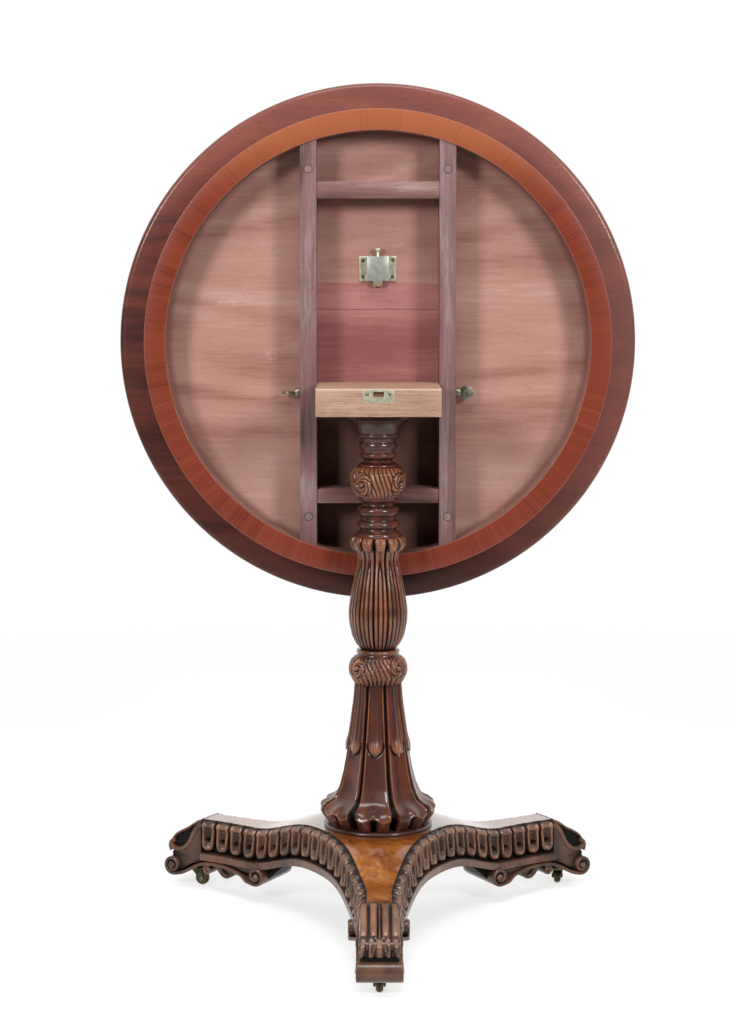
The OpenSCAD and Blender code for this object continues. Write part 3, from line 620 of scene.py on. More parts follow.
# %% [markdown]
# ## Rosewood, carved and waxed
# Carved work on an old table is not one colour. Years of handling keep the crests bright
# and warm, and stain, dust and wax gather in the cuts until they are nearly black. Each
# carved mesh therefore carries a number at every point, `recess`, which is 0 on a crest
# and 1 at the bottom of a cut. The finish reads it, and the light does the rest.
# %% Make the carved finish and the dark one


def rosewood(name, crest, face, deep, grain_axis=2, shine=0.3):
    finish = Finish(name, Coat_Roughness=0.2, Coat_IOR=1.6,
                    Specular_IOR_Level=0.3)
    recess = finish.attribute("recess")
    bands, fibres, pores = grain(finish, grain_axis, 0.7)
    cloud = finish.noise(finish.place(), 24.0, 3.0, 0.6)
    tone = bands * 0.3 + fibres * 0.45 + cloud * 0.35 - 0.05
    wood = finish.mix(tone.ramp(0.2, 0.8), deep, face)
    wood = finish.mix(recess.ramp(0.3, 0.0) * cloud.ramp(0.25, 0.6), wood, crest)
    wood = finish.mix(pores * 0.35, wood, "#1c0c07")
    cut = (recess + cloud * 0.12).ramp(0.42, 0.9)
    wood = finish.mix(cut, wood, "#070302")
    finish.feed(finish.shader.inputs["Coat Weight"], (1 - cut) * shine)
    rough = 0.36 + recess * 0.3 + fibres * 0.12
    height = fibres * 0.5 - pores * 0.8 + cloud
    return finish.wear(wood, rough, finish.bump(height, 0.2, 0.0005))


carved_rosewood = rosewood("carved_rosewood", "#97603d", "#682f17", "#38150a", shine=0.7)
worn_rosewood = rosewood("worn_rosewood", "#93674b", "#613b28", "#2f1a11", shine=0.7)
dark_rosewood = rosewood("dark_rosewood", "#54302a", "#331a17", "#1a0c0a", shine=0.8)
print("finishes:", carved_rosewood.name, dark_rosewood.name)

# %% [markdown]
# ## Carving as moved points
# A carver starts from a turned blank, and so does this lesson. The outline is spun with
# its points close together, and then every point is moved in or out by a function of its
# angle, its height and its radius. Such a function reads like the carver's layout: how
# many leaves go round, how wide a groove is, where a tongue ends.
# %% Functions for a dense turned blank and for carving it


def step_up(low_edge, high_edge, value):
    """0 below the low edge, 1 above the high edge, and smooth between."""
    t = np.clip((value - low_edge) / (high_edge - low_edge), 0, 1)
    return t * t * (3 - 2 * t)


def bead(radius, bottom, top, out, steps=10):
    """A half round moulding in an outline, in millimetres."""
    turns = [math.pi * i / steps for i in range(steps + 1)]
    middle = (top - bottom) / 2
    return [(radius + out * math.sin(t), bottom + middle * (1 - math.cos(t))) for t in turns]


def close_set(points, step, smooth=False):
    """The same outline with points at most a step apart, in millimetres."""
    points = np.array(points, float)
    along = np.concatenate([[0], np.cumsum(np.hypot(*np.diff(points, axis=0).T))])
    at = np.linspace(0, along[-1], int(along[-1] / step) + 2)
    fine = np.stack([np.interp(at, along, points[:, i]) for i in (0, 1)], axis=1)
    if smooth:
        for passes in range(14):
            fine[1:-1] = fine[1:-1] * 0.5 + (fine[:-2] + fine[2:]) * 0.25
    return fine


def blank(outline, steps, step, smooth=False):
    """A dense turned blank, closed at both ends, from an outline in millimetres."""
    rows = close_set(outline, step, smooth)
    rows = [(0, rows[0][1])] + [tuple(row) for row in rows] + [(0, rows[-1][1])]
    return turned([(r * MM, z * MM) for r, z in rows], steps)


def carve(bm, layout):
    """Moves points by layout(angle, height, radius), which gives the move outwards, the
    move upwards and the recess. Heights and moves are in millimetres."""
    layer = bm.verts.layers.float.get("recess") or bm.verts.layers.float.new("recess")
    points = np.array([v.co for v in bm.verts]) / MM
    radius = np.hypot(points[:, 0], points[:, 1])
    angle = np.arctan2(points[:, 1], points[:, 0])
    out, up, recess = layout(angle, points[:, 2], radius)
    moved = np.where(radius > 1, radius + out, radius)
    high_z = points[:, 2] + np.where(radius > 1, up, 0)
    for v, a, r, z, sunk in zip(bm.verts, angle, moved, high_z, recess):
        v.co = (r * math.cos(a) * MM, r * math.sin(a) * MM, z * MM)
        v[layer] = min(max(sunk, 0), 1)
    return bm


def share_of(angle, count, first):
    """Where a point lies across one of count equal leaves: -0.5 to 0.5, 0 at its middle."""
    turns = (angle - math.radians(first)) * count / (2 * math.pi)
    return turns - np.round(turns)


print("outline of a bead:", [(round(r, 1), round(z, 1)) for r, z in bead(10, 0, 4, 2, 2)])

# %% [markdown]
# ## The lotus skirt
# The foot of the column spreads like the underside of a flower. Eight long petals stand
# side by side with black grooves between them. High on each petal lies a raised tongue
# that ends in a rounded point. Below it the petal is hollowed, with a thin raised edge
# on each side, and at the foot its lip curls out in a wave over small lobes.
# %% Carve the lotus skirt
LOTUS_TURN = -95.4
lotus_h = (lotus_top - ring_z) / MM
TIP_Z = 223.5
LIP_Z = 149


def lotus_layout(angle, z, radius):
    share = share_of(angle, 8, LOTUS_TURN)
    half = math.pi * radius / 8
    off = np.abs(share) * 2 * half
    side = half - off
    low_part = step_up(225, 150, z)
    groove = 1.7 + 0.9 * low_part + 2.2 * step_up(170, 146, z)
    floor = 5.0 + 3.0 * low_part
    in_groove = 1 - step_up(groove * 0.55, groove * 1.25, side)
    out = -floor * in_groove
    # the thin raised edge beside each groove
    rib = np.exp(-((side - groove - 1.7) / 1.0) ** 2)
    out += 0.9 * rib
    field = np.maximum(half - groove - 2.6, 2.0)
    across = np.clip(off / field, 0, 1)
    # the raised tongue with its rounded point
    to_tip = np.clip((z - TIP_Z) / 24, 0, 1)
    width = field * 0.98 * np.sqrt(1 - (1 - to_tip) ** 2)
    on_tongue = step_up(0.6, -0.3, off - width) * (z > TIP_Z - 1)
    dome = np.sqrt(np.clip(1 - (off / np.maximum(width, 0.3)) ** 2, 0, 1))
    swell = 1.6 + 1.9 * np.exp(-((z - TIP_Z - 10) / 9) ** 2)
    tongue = swell * dome - 0.7 + 0.5 * np.cos(across * 9)
    # the hollow below it
    hollow = (2.2 + 1.6 * low_part) * (1 - across ** 2)
    hollow *= step_up(148, 158, z)
    out += np.where(on_tongue > 0, tongue * on_tongue, 0)
    out -= hollow * (1 - on_tongue) * (1 - in_groove)
    # the dark crescent under the point: cut a little deeper, and painted dark as the shade under the
    # tip
    beyond = np.where(z > TIP_Z, off - width, np.hypot(off * 0.8, TIP_Z - z))
    shade = step_up(3.6, 0.4, beyond) * (1 - on_tongue) * (z < TIP_Z + 17) * (off < field + 0.6)
    out -= 1.8 * shade
    # the wave of the lip, and the lobes under it
    wave = np.cos(4 * math.pi * share)
    near_lip = np.exp(-((z - LIP_Z) / 8.5) ** 2)
    up = 2.9 * wave * near_lip * (1 - in_groove * 0.3)
    out += 1.1 * near_lip * (1 - in_groove) * np.abs(wave)
    edge = np.exp(-((z - LIP_Z + 1.5) / 1.6) ** 2)
    out += 0.7 * edge * (1 - in_groove)
    under = step_up(LIP_Z - 2, LIP_Z - 8, z)
    gap = np.maximum(step_up(0.10, 0.045, np.abs(share)), step_up(0.36, 0.45, np.abs(share)))
    out += under * (-9.5 * gap + 2.0 * (1 - gap) * np.abs(np.sin(2 * math.pi * share)))
    out -= under * 2.0
    recess = 0.3 - 0.3 * rib - 0.22 * edge + 0.1 * hollow / 3
    recess = np.where(on_tongue > 0.5, 0.32 - 0.28 * dome * np.exp(-((z - TIP_Z - 9) / 9) ** 2),
                      recess)
    recess = np.maximum(recess, in_groove * 1.1)
    # the petal is darker for a little way out from each groove
    beside_groove = step_up(groove + 2.2, groove, side) * (1 - 0.7 * rib)
    recess = np.maximum(recess, 0.62 * beside_groove)
    # painted shade under the point of each tongue
    recess = np.maximum(recess, shade)
    recess = np.maximum(recess, under * gap * 1.2)
    # painted shade: the top of the skirt, under the hanging tips of the knop, is darkened
    recess = np.maximum(recess, 0.62 * step_up(306, 317, z))
    return out, up, recess


lotus_outline = [(r, ring_z / MM + s * lotus_h) for r, s in (
    (66, 0), (68.5, 0.02), (72.8, 0.05), (75, 0.085), (75.6, 0.11), (73.6, 0.135), (68.5, 0.15),
    (62, 0.168), (57.5, 0.19), (51, 0.265), (46, 0.365), (41, 0.51), (37, 0.66), (31.8, 0.855),
    (29.5, 1))]
lotus = carve(blank(lotus_outline, 288, 0.8, smooth=True), lotus_layout)
keep("lotus_skirt", lotus, "base", "carved_rosewood", carved_rosewood, "column_lotus",
     smooth=60)

# %% [markdown]
# ## Rosettes that swirl
# The two knops of the column carry four rosettes each, with leaves flowing between them.
# A leaf of a rosette winds outwards as it goes round, which is a logarithmic spiral: the
# angle plus the logarithm of the distance from the middle says on which leaf a point
# lies. Between the rosettes the leaves run down in an S.
# %% A layout for whirling leaves


def whirl(angle, z, radius, first, middle, reach):
    """Cut and recess of a belt of four rosettes with S shaped leaves between them. Reach
    is the radius of a rosette, and lengths are in millimetres."""
    share = share_of(angle, 4, first)
    across = share * math.pi * radius / 2
    rise = z - middle
    far = np.hypot(across, rise)
    turn = np.arctan2(rise, across)
    # inside a rosette the leaves wind outwards from the button
    wound = 5 * turn / (2 * math.pi) + 2.1 * np.log(far / reach + 0.08)
    # between rosettes they run down in an S and lean round the nearest rosette
    sway = 0.85 * np.sin(np.clip(rise / (reach * 1.25), -1, 1) * math.pi / 2)
    leaning = share * 8 + sway - 0.25 * np.sin(2 * math.pi * share)
    inside = step_up(reach + 1.2, reach - 1.2, far)
    crest = np.where(inside > 0.5, np.abs(np.sin(math.pi * wound)),
                     np.abs(np.sin(math.pi * leaning)))
    heart = step_up(3.4, 1.4, far)
    ring = np.exp(-((far - reach) / 1.0) ** 2)
    ditch = np.exp(-((far - 4.1) / 0.8) ** 2)
    cut = 2.6 * (1 - crest ** 0.55) * (1 - heart) + 1.0 * ditch + 0.9 * ring - 1.3 * heart
    cut -= 1.5 * np.exp(-(far / (reach * 0.9)) ** 2)
    recess = np.maximum((1.0 - crest * 2.1) * (1 - heart), 0.85 * ditch)
    return cut, np.clip(np.maximum(recess, 0.5 * ring), 0, 1), crest


# %% [markdown]
# ## The lower knop
# This knop sits on the lotus like a collar. Its leaf tips hang over the petals in small
# scallops, and a plain fillet closes it at the top.
# %% Carve the lower knop
knop_outline = [(r, lotus_top / MM + s * 35) for r, s in (
    (27, -0.09), (31.5, -0.08), (35, 0.06), (38.4, 0.22), (39.2, 0.37), (38.9, 0.54), (36.2, 0.75),
    (31.0, 0.89), (27.6, 0.93), (27.3, 1.0))]
knop_outline += bead(27.0, 354.2, 359.6, 1.6)


def knop_layout(angle, z, radius):
    cut, recess, crest = whirl(angle, z, radius, -136, 338, 12.5)
    carved = step_up(353, 347, z)
    tips = step_up(324, 318, z)
    out = -cut * carved - tips * (1 - crest) * 2.5
    up = -tips * 2.6 * (crest - 0.5)
    recess = recess * carved + 0.12 * (1 - carved)
    recess = np.maximum(recess, 0.5 * step_up(348, 352, z) * step_up(354.6, 353, z))
    return out, up, recess


knop = carve(blank(knop_outline, 288, 0.7), knop_layout)
keep("lower_knop", knop, "base", "carved_rosewood", carved_rosewood, "column_lower_knop",
     smooth=60)

# %% [markdown]
# ## The vase
# The vase is reeded with long leaves. Twelve deep grooves run its full height, one below
# each gap in the collar above, and two shallower ones branch off the middle of each leaf
# like veins and run down beside them.
# %% Carve the vase
LEAVES = 12
LEAF_TURN = -85
vase_h = (vase_top - knop_top) / MM
vase_outline = [(23, knop_top / MM), (22.6, 357.5)]
vase_outline += [(r, knop_top / MM + s * vase_h) for r, s in (
    (23.5, 0.045), (28.5, 0.085), (34.4, 0.17), (38.2, 0.30), (39.0, 0.39), (38.4, 0.456),
    (34.9, 0.63), (29.8, 0.797), (27.2, 0.88), (26.6, 0.92), (27.6, 0.96), (30, 1.02))]


def vase_layout(angle, z, radius):
    share = share_of(angle, LEAVES, LEAF_TURN)
    pitch = 2 * math.pi * np.maximum(radius, 1) / LEAVES
    off = np.abs(share) * pitch
    side = pitch / 2 - off
    # the veins leave the middle of the leaf high up and end level with the reeds
    spread = step_up(486, 452, z)
    vein = np.abs(off - pitch * (0.03 + spread * 0.135))
    ends = step_up(360.5, 367, z - 3.2 * np.cos(share * 6 * math.pi))
    groove = np.exp(-(side / 1.25) ** 2)
    branch = np.exp(-(vein / 0.95) ** 2) * step_up(488, 474, z)
    round_reed = np.cos(np.clip((off % (pitch / 3)) / (pitch / 3) - 0.5, -0.5, 0.5) * math.pi)
    out = -3.4 * groove * ends - 2.0 * branch * ends - 0.9 * (1 - ends)
    out += 0.4 * round_reed * ends
    recess = 0.28 - 0.2 * step_up(0.8, 2.2, side) * step_up(0.8, 2.0, vein)
    recess = np.maximum(recess, groove * 1.15 * ends)
    recess = np.maximum(recess, branch * 0.95 * ends)
    foot = np.exp(-((z - 361.0) / 2.6) ** 2)
    recess = np.maximum(recess, 0.95 * foot)
    return out, np.zeros_like(z), recess


vase = carve(blank(vase_outline, 360, 0.9, smooth=True), vase_layout)
keep("reeded_vase", vase, "base", "carved_rosewood", carved_rosewood, "column_vase", smooth=60)

# %% [markdown]
# ## The upper turning
# One turned piece carries, from below, a collar of twelve curled lobes, three plain
# rings, and the upper knop with its rosettes between two fillets.
# %% Carve the upper turning
upper_outline = [(24, 490), (29.6, 491.4), (34, 494), (37.2, 499), (37.4, 504), (34.6, 509),
                 (30.4, 511.6), (29.4, 514.6), (25.2, 517.2), (24, 519.6)]
upper_outline += bead(24, 521.6, 531.2, 4.5)
upper_outline += [(23.6, 533), (23.6, 536.6)]
upper_outline += bead(23.5, 538.0, 549.6, 4.4)
upper_outline += [(20.8, 551.4), (20.4, 555), (24, 557.4), (25.8, 558.6), (25.8, 560.4),
                  (27.4, 562), (32.2, 567.4), (36.3, 578), (37.4, 586), (36.2, 594.6),
                  (31.8, 600.6), (26.6, 604), (26.4, 606), (20.4, 608.4), (18.8, 611),
                  (20.4, 613.4)]
upper_outline += bead(21.5, 614.4, 621.2, 3.2)
upper_outline += [(22, 623)]


def collar_layout(angle, z):
    """Curled lobes between 491 and 511."""
    share = share_of(angle, LEAVES, LEAF_TURN)
    off = np.abs(share) * 2
    zone = step_up(511.5, 508, z)
    lift_up = step_up(508, 492, z)
    gap = step_up(0.62 - 0.22 * lift_up, 1.0, off)
    dome = np.sqrt(np.clip(1 - (off * 0.98) ** 2, 0, 1))
    out = zone * (1.4 * dome - 1.2 - (4.5 + 3.0 * lift_up) * gap ** 1.5)
    up = zone * (-2.6 * dome + 2.0) * step_up(504, 492, z)
    middle_cut = np.exp(-(off * 11) ** 2) * step_up(500, 506, z) * zone
    out -= 0.7 * middle_cut
    recess = 0.3 - 0.3 * dome * zone
    recess = np.maximum(recess, zone * gap * (0.7 + 0.6 * lift_up))
    recess = np.maximum(recess, 0.5 * middle_cut)
    return out, up, recess


def upper_layout(angle, z, radius):
    out, up, recess = collar_layout(angle, z)
    cut, sunk = whirl(angle, z, radius, -127, 581, 15.5)[:2]
    on_knop = step_up(561.5, 564.5, z) * step_up(603.6, 600.5, z)
    out = out - cut * on_knop
    recess = np.where(z > 556, np.maximum(0.25 * (1 - on_knop), sunk * on_knop), recess)
    # wax lies dark in the quirks between the plain mouldings
    quirk = np.zeros_like(z)
    for height in (518.6, 521.2, 532, 537.6, 550.4, 554, 607.6, 611.5, 614):
        quirk = np.maximum(quirk, np.exp(-((z - height) / 1.3) ** 2))
    recess = np.maximum(recess, 0.72 * quirk)
    return out, up, recess


upper = carve(blank(upper_outline, 288, 0.75), upper_layout)
keep("upper_turning", upper, "base", "carved_rosewood", carved_rosewood, "column_upper",
     smooth=50)

# %% [markdown]
# ## The capital and the base ring
# These are plain turnings with a darker stain. The frame's own outlines are right, so
# each is a joined copy with smooth shading.
# %% Copy the plain turnings


def smooth_copy(name, node, body, slot, material, sunk=0.1, smooth=34):
    bm = joined_copy(node)
    layer = bm.verts.layers.float.new("recess")
    for v in bm.verts:
        v[layer] = sunk
    return keep(name, bm, body, slot, material, node, smooth=smooth)


smooth_copy("capital", "column_capital", "base", "dark_rosewood", dark_rosewood)
smooth_copy("base_ring", "column_base_ring", "base", "dark_rosewood", dark_rosewood)

# %% [markdown]
# ## The carved bands
# Each hollow side of the platform wears a band of twenty upright tongues over a plain
# lip. A tongue is a raised loop, open at the top, with a hollow channel inside it, a
# drilled hole low in the channel and a round bead below the hole. The band follows the
# hollow side in plan and climbs with the platform towards the column. Its section is
# spun about the middle of the hollow, lifted to follow the climb, and then carved.
# %% Work out the plan of the platform
arm_end_r = -low("platform").y / MM
arm_half = (high("platform").x / MM - arm_end_r * math.cos(math.pi / 6)) * 2
waist_r = low("carved_band_back").y / MM
arm_top = low("platform_veneer").z / MM + 1
band_low = low("carved_band_back").z / MM
band_h = arm_top - 0.4 - band_low
flat_r = high("column_base_ring").x / MM + 2
arm_r = arm_end_r - 83
corner_run = arm_half * math.cos(math.pi / 6) + arm_end_r / 2
arc_mid = (arm_half ** 2 + arm_end_r ** 2 - waist_r ** 2) / (2 * (corner_run - waist_r))
arc_r = arc_mid - waist_r
arc_half = math.atan2(arm_end_r * math.sin(math.pi / 3) - arm_half / 2, arc_mid - corner_run)


def lift(radius):
    """How far the platform rises above its arms at a distance from the column's middle."""
    t = np.clip((radius - flat_r) / (arm_r - flat_r), 0, 1)
    return (crown_z / MM - arm_top) * (1 + np.cos(math.pi * t)) / 2


print("hollow side: radius", round(arc_r, 1), "mm,", round(math.degrees(arc_half) * 2), "degrees")

# %% Carve a band
TONGUES = 20
BAND_FRONT = [(13, 0), (13, 8.6), (12.4, 9.8), (10.4, 10.6), (10.2, 13), (10.2, 22), (9.6, 30),
              (8.6, 37), (7.6, 42), (7.6, 46), (7.4, 49), (5.6, 52.2), (3.2, 53.6), (0.6, 54.3)]


def band_layout(across, height):
    """Move outwards and recess of a point of the band, from its place on one tongue."""
    off = np.abs(across)
    # the loop is as wide as a tongue and round at its foot
    over_foot = np.where(height < 22.5, np.hypot(off, height - 22.5), off)
    edge = 10.5 - 0.06 * np.clip(40 - height, 0, 20) - over_foot
    loop = np.exp(-((edge - 2.6) / 2.0) ** 2)
    gap = step_up(0.9, -0.3, edge) * step_up(10.2, 11.4, height)
    channel = step_up(3.4, 5.8, edge) * step_up(18, 25, height)
    head = np.exp(-((height - 47.5) / 3.8) ** 2)
    from_bead = np.hypot(across, (height - 21.4) * 0.92)
    bead_top = np.sqrt(np.clip(1 - (from_bead / 5.6) ** 2, 0, 1))
    hole = np.exp(-(np.hypot(across / 1.35, height - 28.6) / 2.7) ** 4)
    out = 1.9 * loop - 7.5 * gap - 2.4 * channel * (1 - 0.9 * head) - 5.0 * hole
    out += 4.4 * bead_top - 1.0 * step_up(5.0, 6.2, from_bead) * step_up(7.6, 6.2, from_bead)
    out += 2.0 * head * (1 - gap)
    out *= step_up(10.0, 11.2, height)
    recess = 0.3 - 0.3 * loop - 0.25 * bead_top - 0.2 * head
    recess += 0.3 * channel * (1 - head) * step_up(46, 30, height)
    recess = np.maximum(recess, 1.1 * gap)
    recess = np.maximum(recess, hole)
    ditch = np.exp(-((from_bead - 5.8) / 0.8) ** 2) * step_up(33, 28, height)
    recess = np.maximum(recess, 0.7 * ditch * (1 - loop))
    recess = np.where(height < 10.4, 0.16 + 0.6 * step_up(9.0, 10.4, height), recess)
    recess = np.maximum(recess, 0.75 * step_up(51.5, 53.2, height))
    return out, recess


def make_band():
    """One band in its own frame: the table's axis at the origin, the hollow along +X."""
    rows = close_set(BAND_FRONT, 1.0)
    bm = bmesh.new()
    start = math.pi - arc_half + 0.0008
    row = []
    for out, height in [(-0.3, 0)] + [tuple(p) for p in rows] + [(-0.3, band_h)]:
        reach = arc_r - out
        row.append(bm.verts.new(((arc_mid + reach * math.cos(start)) * MM,
                                 reach * math.sin(start) * MM, (band_low + height) * MM)))
    edges = [bm.edges.new(pair) for pair in zip(row, row[1:] + row[:1])]
    bmesh.ops.spin(bm, geom=row + edges, cent=(arc_mid * MM, 0, 0), axis=(0, 0, 1),
                   angle=2 * arc_half - 0.0016, steps=TONGUES * 24, use_merge=False)
    bmesh.ops.holes_fill(bm, edges=[e for e in bm.edges if e.is_boundary], sides=0)
    bmesh.ops.recalc_face_normals(bm, faces=bm.faces)
    layer = bm.verts.layers.float.new("recess")
    points = np.array([v.co for v in bm.verts]) / MM
    dx = points[:, 0] - arc_mid
    reach = np.hypot(dx, points[:, 1])
    turn = np.arctan2(points[:, 1], -dx)
    pitch = 2 * arc_r * arc_half / TONGUES
    place = turn * arc_r / pitch
    across = (place - 0.5 - np.round(place - 0.5)) * pitch
    height = points[:, 2] - band_low
    out, recess = band_layout(across, height)
    front = arc_r - reach > 0.2
    reach = reach - np.where(front, out, 0)
    x = arc_mid - reach * np.cos(turn)
    y = reach * np.sin(turn)
    z = points[:, 2] + lift(np.hypot(arc_mid - arc_r * np.cos(turn), arc_r * np.sin(turn)))
    for v, px, py, pz, sunk in zip(bm.verts, x, y, z, recess):
        v.co = (px * MM, py * MM, pz * MM)
        v[layer] = min(max(sunk, 0), 1)
    return bm


BAND_SIDES = {"right": -30, "left": 210, "back": 90}
for side, heading in BAND_SIDES.items():
    turn_to = Matrix.Rotation(math.radians(heading), 4, "Z")
    keep("tongue_band_" + side, make_band(), "base", "carved_rosewood", worn_rosewood,
         "carved_band_" + side, smooth=60, place=turn_to)

# %% [markdown]
# ## The platform and its veneer
# The top of the platform is veneered with burr, cut from a knotty growth on the trunk.
# Burr has no straight grain: it swirls round many small eyes. A noise whose coordinates
# are pushed about by another noise swirls in the same way, and a Voronoi pattern places
# the eyes. The polish is thick here, so the far arms mirror the white room.
# %% Make the burr finish


def burr_finish():
    finish = Finish("burr_veneer", Coat_Roughness=0.03, Coat_IOR=2.8)
    push = finish.noise(finish.place(), 16.0, 3.0, 0.6)
    settings = {"operation": "SCALE"}
    drift = finish.node("ShaderNodeVectorMath", settings,
                        {0: Wire(finish, push.socket.node.outputs["Color"]), "Scale": 0.06})
    moved = finish.node("ShaderNodeVectorMath", {"operation": "ADD"}, {0: finish.place(), 1: drift})
    swirl = finish.noise(moved, 46.0, 5.0, 0.62, 1.4)
    broad = finish.noise(moved, 12.0, 3.0, 0.5, 0.8)
    eyes = finish.node("ShaderNodeTexVoronoi", {"feature": "F1"}, {"Vector": moved, "Scale": 34.0})
    eye = eyes.ramp(0.30, 0.08)
    pores = finish.noise(finish.place(), 700.0, 2.0).ramp(0.58, 0.7)
    tone = swirl * 0.6 + broad * 0.5 - 0.05
    colour = finish.mix(tone.ramp(0.3, 0.52), "#5c2c10", "#94541f")
    colour = finish.mix(tone.ramp(0.5, 0.72), colour, "#c07d3c")
    colour = finish.mix(eye * swirl.ramp(0.35, 0.6) * 0.85, colour, "#3c1a0b")
    colour = finish.mix(pores * 0.3, colour, "#4a2210")
    x, y = finish.axes()[:2]
    far = (x * x + y * y) ** 0.5
    # painted shade: the veneer is darkened round the foot of the column
    near_ring = far.ramp(flat_r * MM + 0.03, flat_r * MM)
    colour = finish.mix(near_ring * 0.6, colour, "#4d1c0a")
    # a strip of straight dark veneer crosses the end of each arm
    toe_end = far.ramp(arm_end_r * MM - 0.010, arm_end_r * MM - 0.005)
    colour = finish.mix(toe_end * 0.6, colour, "#3f2115")
    # the coat is thinner on the front arm
    finish.feed(finish.shader.inputs["Coat Weight"], y.ramp(-0.09, 0.0) * 0.75 + 0.25)
    return finish.wear(colour, 0.22 + eye * 0.1, finish.bump(swirl, 0.04, 0.0003))


burr = burr_finish()
smooth_copy("burr_top", "platform_veneer", "base", "burr_veneer", burr)
smooth_copy("platform_core", "platform", "base", "carved_rosewood", worn_rosewood, 0.55)

# %% [markdown]
# ## The feet
# A foot is a scroll bracket. Seen from the side it has a plain sunk panel between two
# raised strips. The upper strip leaves the platform in an S and rolls over at the toe.
# The lower one starts in the round volute of the toe, arches along the sole and ends in
# a second volute under the platform. From the front the knee is reeded, and the reeds
# run out into a curling leaf above the toe. A strip or a volute is a ribbon: a line with
# a width, made into a row of faces by one extrusion and into a solid by a second one.
# %% Functions for a ribbon and for a plain slab


def set_recess(bm, verts, value):
    layer = bm.verts.layers.float["recess"]
    for v in verts:
        v[layer] = value


def deepen(bm, faces, half, round_over, recess):
    """Makes faces that lie in the plane y = -half into a solid that reaches y = half."""
    grown = bmesh.ops.extrude_face_region(bm, geom=faces)["geom"]
    shifted = [g for g in grown if isinstance(g, bmesh.types.BMVert)]
    bmesh.ops.translate(bm, vec=(0, 2 * half * MM, 0), verts=shifted)
    solid = list({v for f in faces for v in f.verts} | set(shifted))
    around = list({f for v in solid for f in v.link_faces})
    bmesh.ops.recalc_face_normals(bm, faces=around)
    set_recess(bm, solid, recess)
    rims = [e for e in {e for f in around for e in f.edges}
            if e.is_manifold and e.calc_face_angle(0) > 1.0
            and abs(e.verts[0].co.y - e.verts[1].co.y) < 1e-6]
    if round_over:
        bmesh.ops.bevel(bm, geom=rims, offset=round_over * MM, offset_type="OFFSET", segments=3,
                        profile=0.5, affect="EDGES", clamp_overlap=True, material=-1)
    return bm


def ribbon(bm, path, width, half, round_over=1.6, recess=0.2):
    """A strip along a path of (x, z) points in millimetres. Width is one number or two."""
    path = np.array(path, float)
    aim = np.gradient(path, axis=0)
    aim /= np.maximum(np.hypot(aim[:, 0], aim[:, 1]), 1e-9)[:, None]
    normal = np.stack([-aim[:, 1], aim[:, 0]], axis=1)
    wide = np.linspace(*(width if isinstance(width, tuple) else (width, width)), len(path))
    left = path + normal * wide[:, None] / 2
    right = path - normal * wide[:, None] / 2
    row = [bm.verts.new((x * MM, -half * MM, z * MM)) for x, z in left]
    edges = [bm.edges.new(pair) for pair in zip(row, row[1:])]
    grown = bmesh.ops.extrude_edge_only(bm, edges=edges)["geom"]
    # each new point is joined by an edge to the point that it grew from
    for v in [g for g in grown if isinstance(g, bmesh.types.BMVert)]:
        source = next(e.other_vert(v) for e in v.link_edges if e.other_vert(v) in row)
        x, z = right[row.index(source)]
        v.co = (x * MM, -half * MM, z * MM)
    faces = [g for g in grown if isinstance(g, bmesh.types.BMFace)]
    return deepen(bm, faces, half, round_over, recess)


def slab_of(bm, outline, half, round_over=1.0, recess=0.3, margin_shade=None):
    """A flat piece with the given outline, and a margin painted darker as shade where a strip covers
    it.
    """
    face = bm.faces.new([bm.verts.new((x * MM, -half * MM, z * MM)) for x, z in outline])
    deepen(bm, [face], half, round_over, recess)
    # painted shade: the margin next to the strips is darkened
    if margin_shade:
        sides = [f for f in bm.faces if abs(abs(f.calc_center_median().y) - half * MM) < 1e-6
                 and len(f.verts) > 8]
        for side in sides:
            rim = list(side.verts)
            bmesh.ops.inset_region(bm, faces=[side], thickness=2.2 * MM, use_even_offset=True)
            set_recess(bm, rim, margin_shade)
            set_recess(bm, list(side.verts), recess)
    return bm


def coil(centre, start, turns, outer, inner, steps=34):
    """Points of a spiral from its outer end to its inner end."""
    points = []
    for i in range(steps + 1):
        t = i / steps
        angle = math.radians(start) + 2 * math.pi * turns * t
        radius = outer + (inner - outer) * t ** 1.6
        points.append((centre[0] + radius * math.cos(angle), centre[1] + radius * math.sin(angle)))
    return points


print("a coil has", len(coil((0, 0), 0, 1, 2, 1)), "points")

# %% [markdown]
# ## The reeded knee and its leaf
# The knee is a sheet that starts at the end of the arm, falls forward and curls down in
# leaf tips. It is a grid wrapped along that line, then carved: a slim rib in the middle
# between two dark grooves, a broad reed on each side, a sunk strip, an outer reed, and
# at the end two slanting cuts that part the leaf tips.
# %% Carve the knee
KNEE_LINE = [(268.6, 97.6), (276, 95.4), (284, 90), (292, 84.6), (301, 80), (309, 75.4),
             (316, 69.6), (321, 63), (322.6, 56.4), (320, 49.8)]
KNEE_HALF = 24.0
toe_mid = (315.0, 30.5)


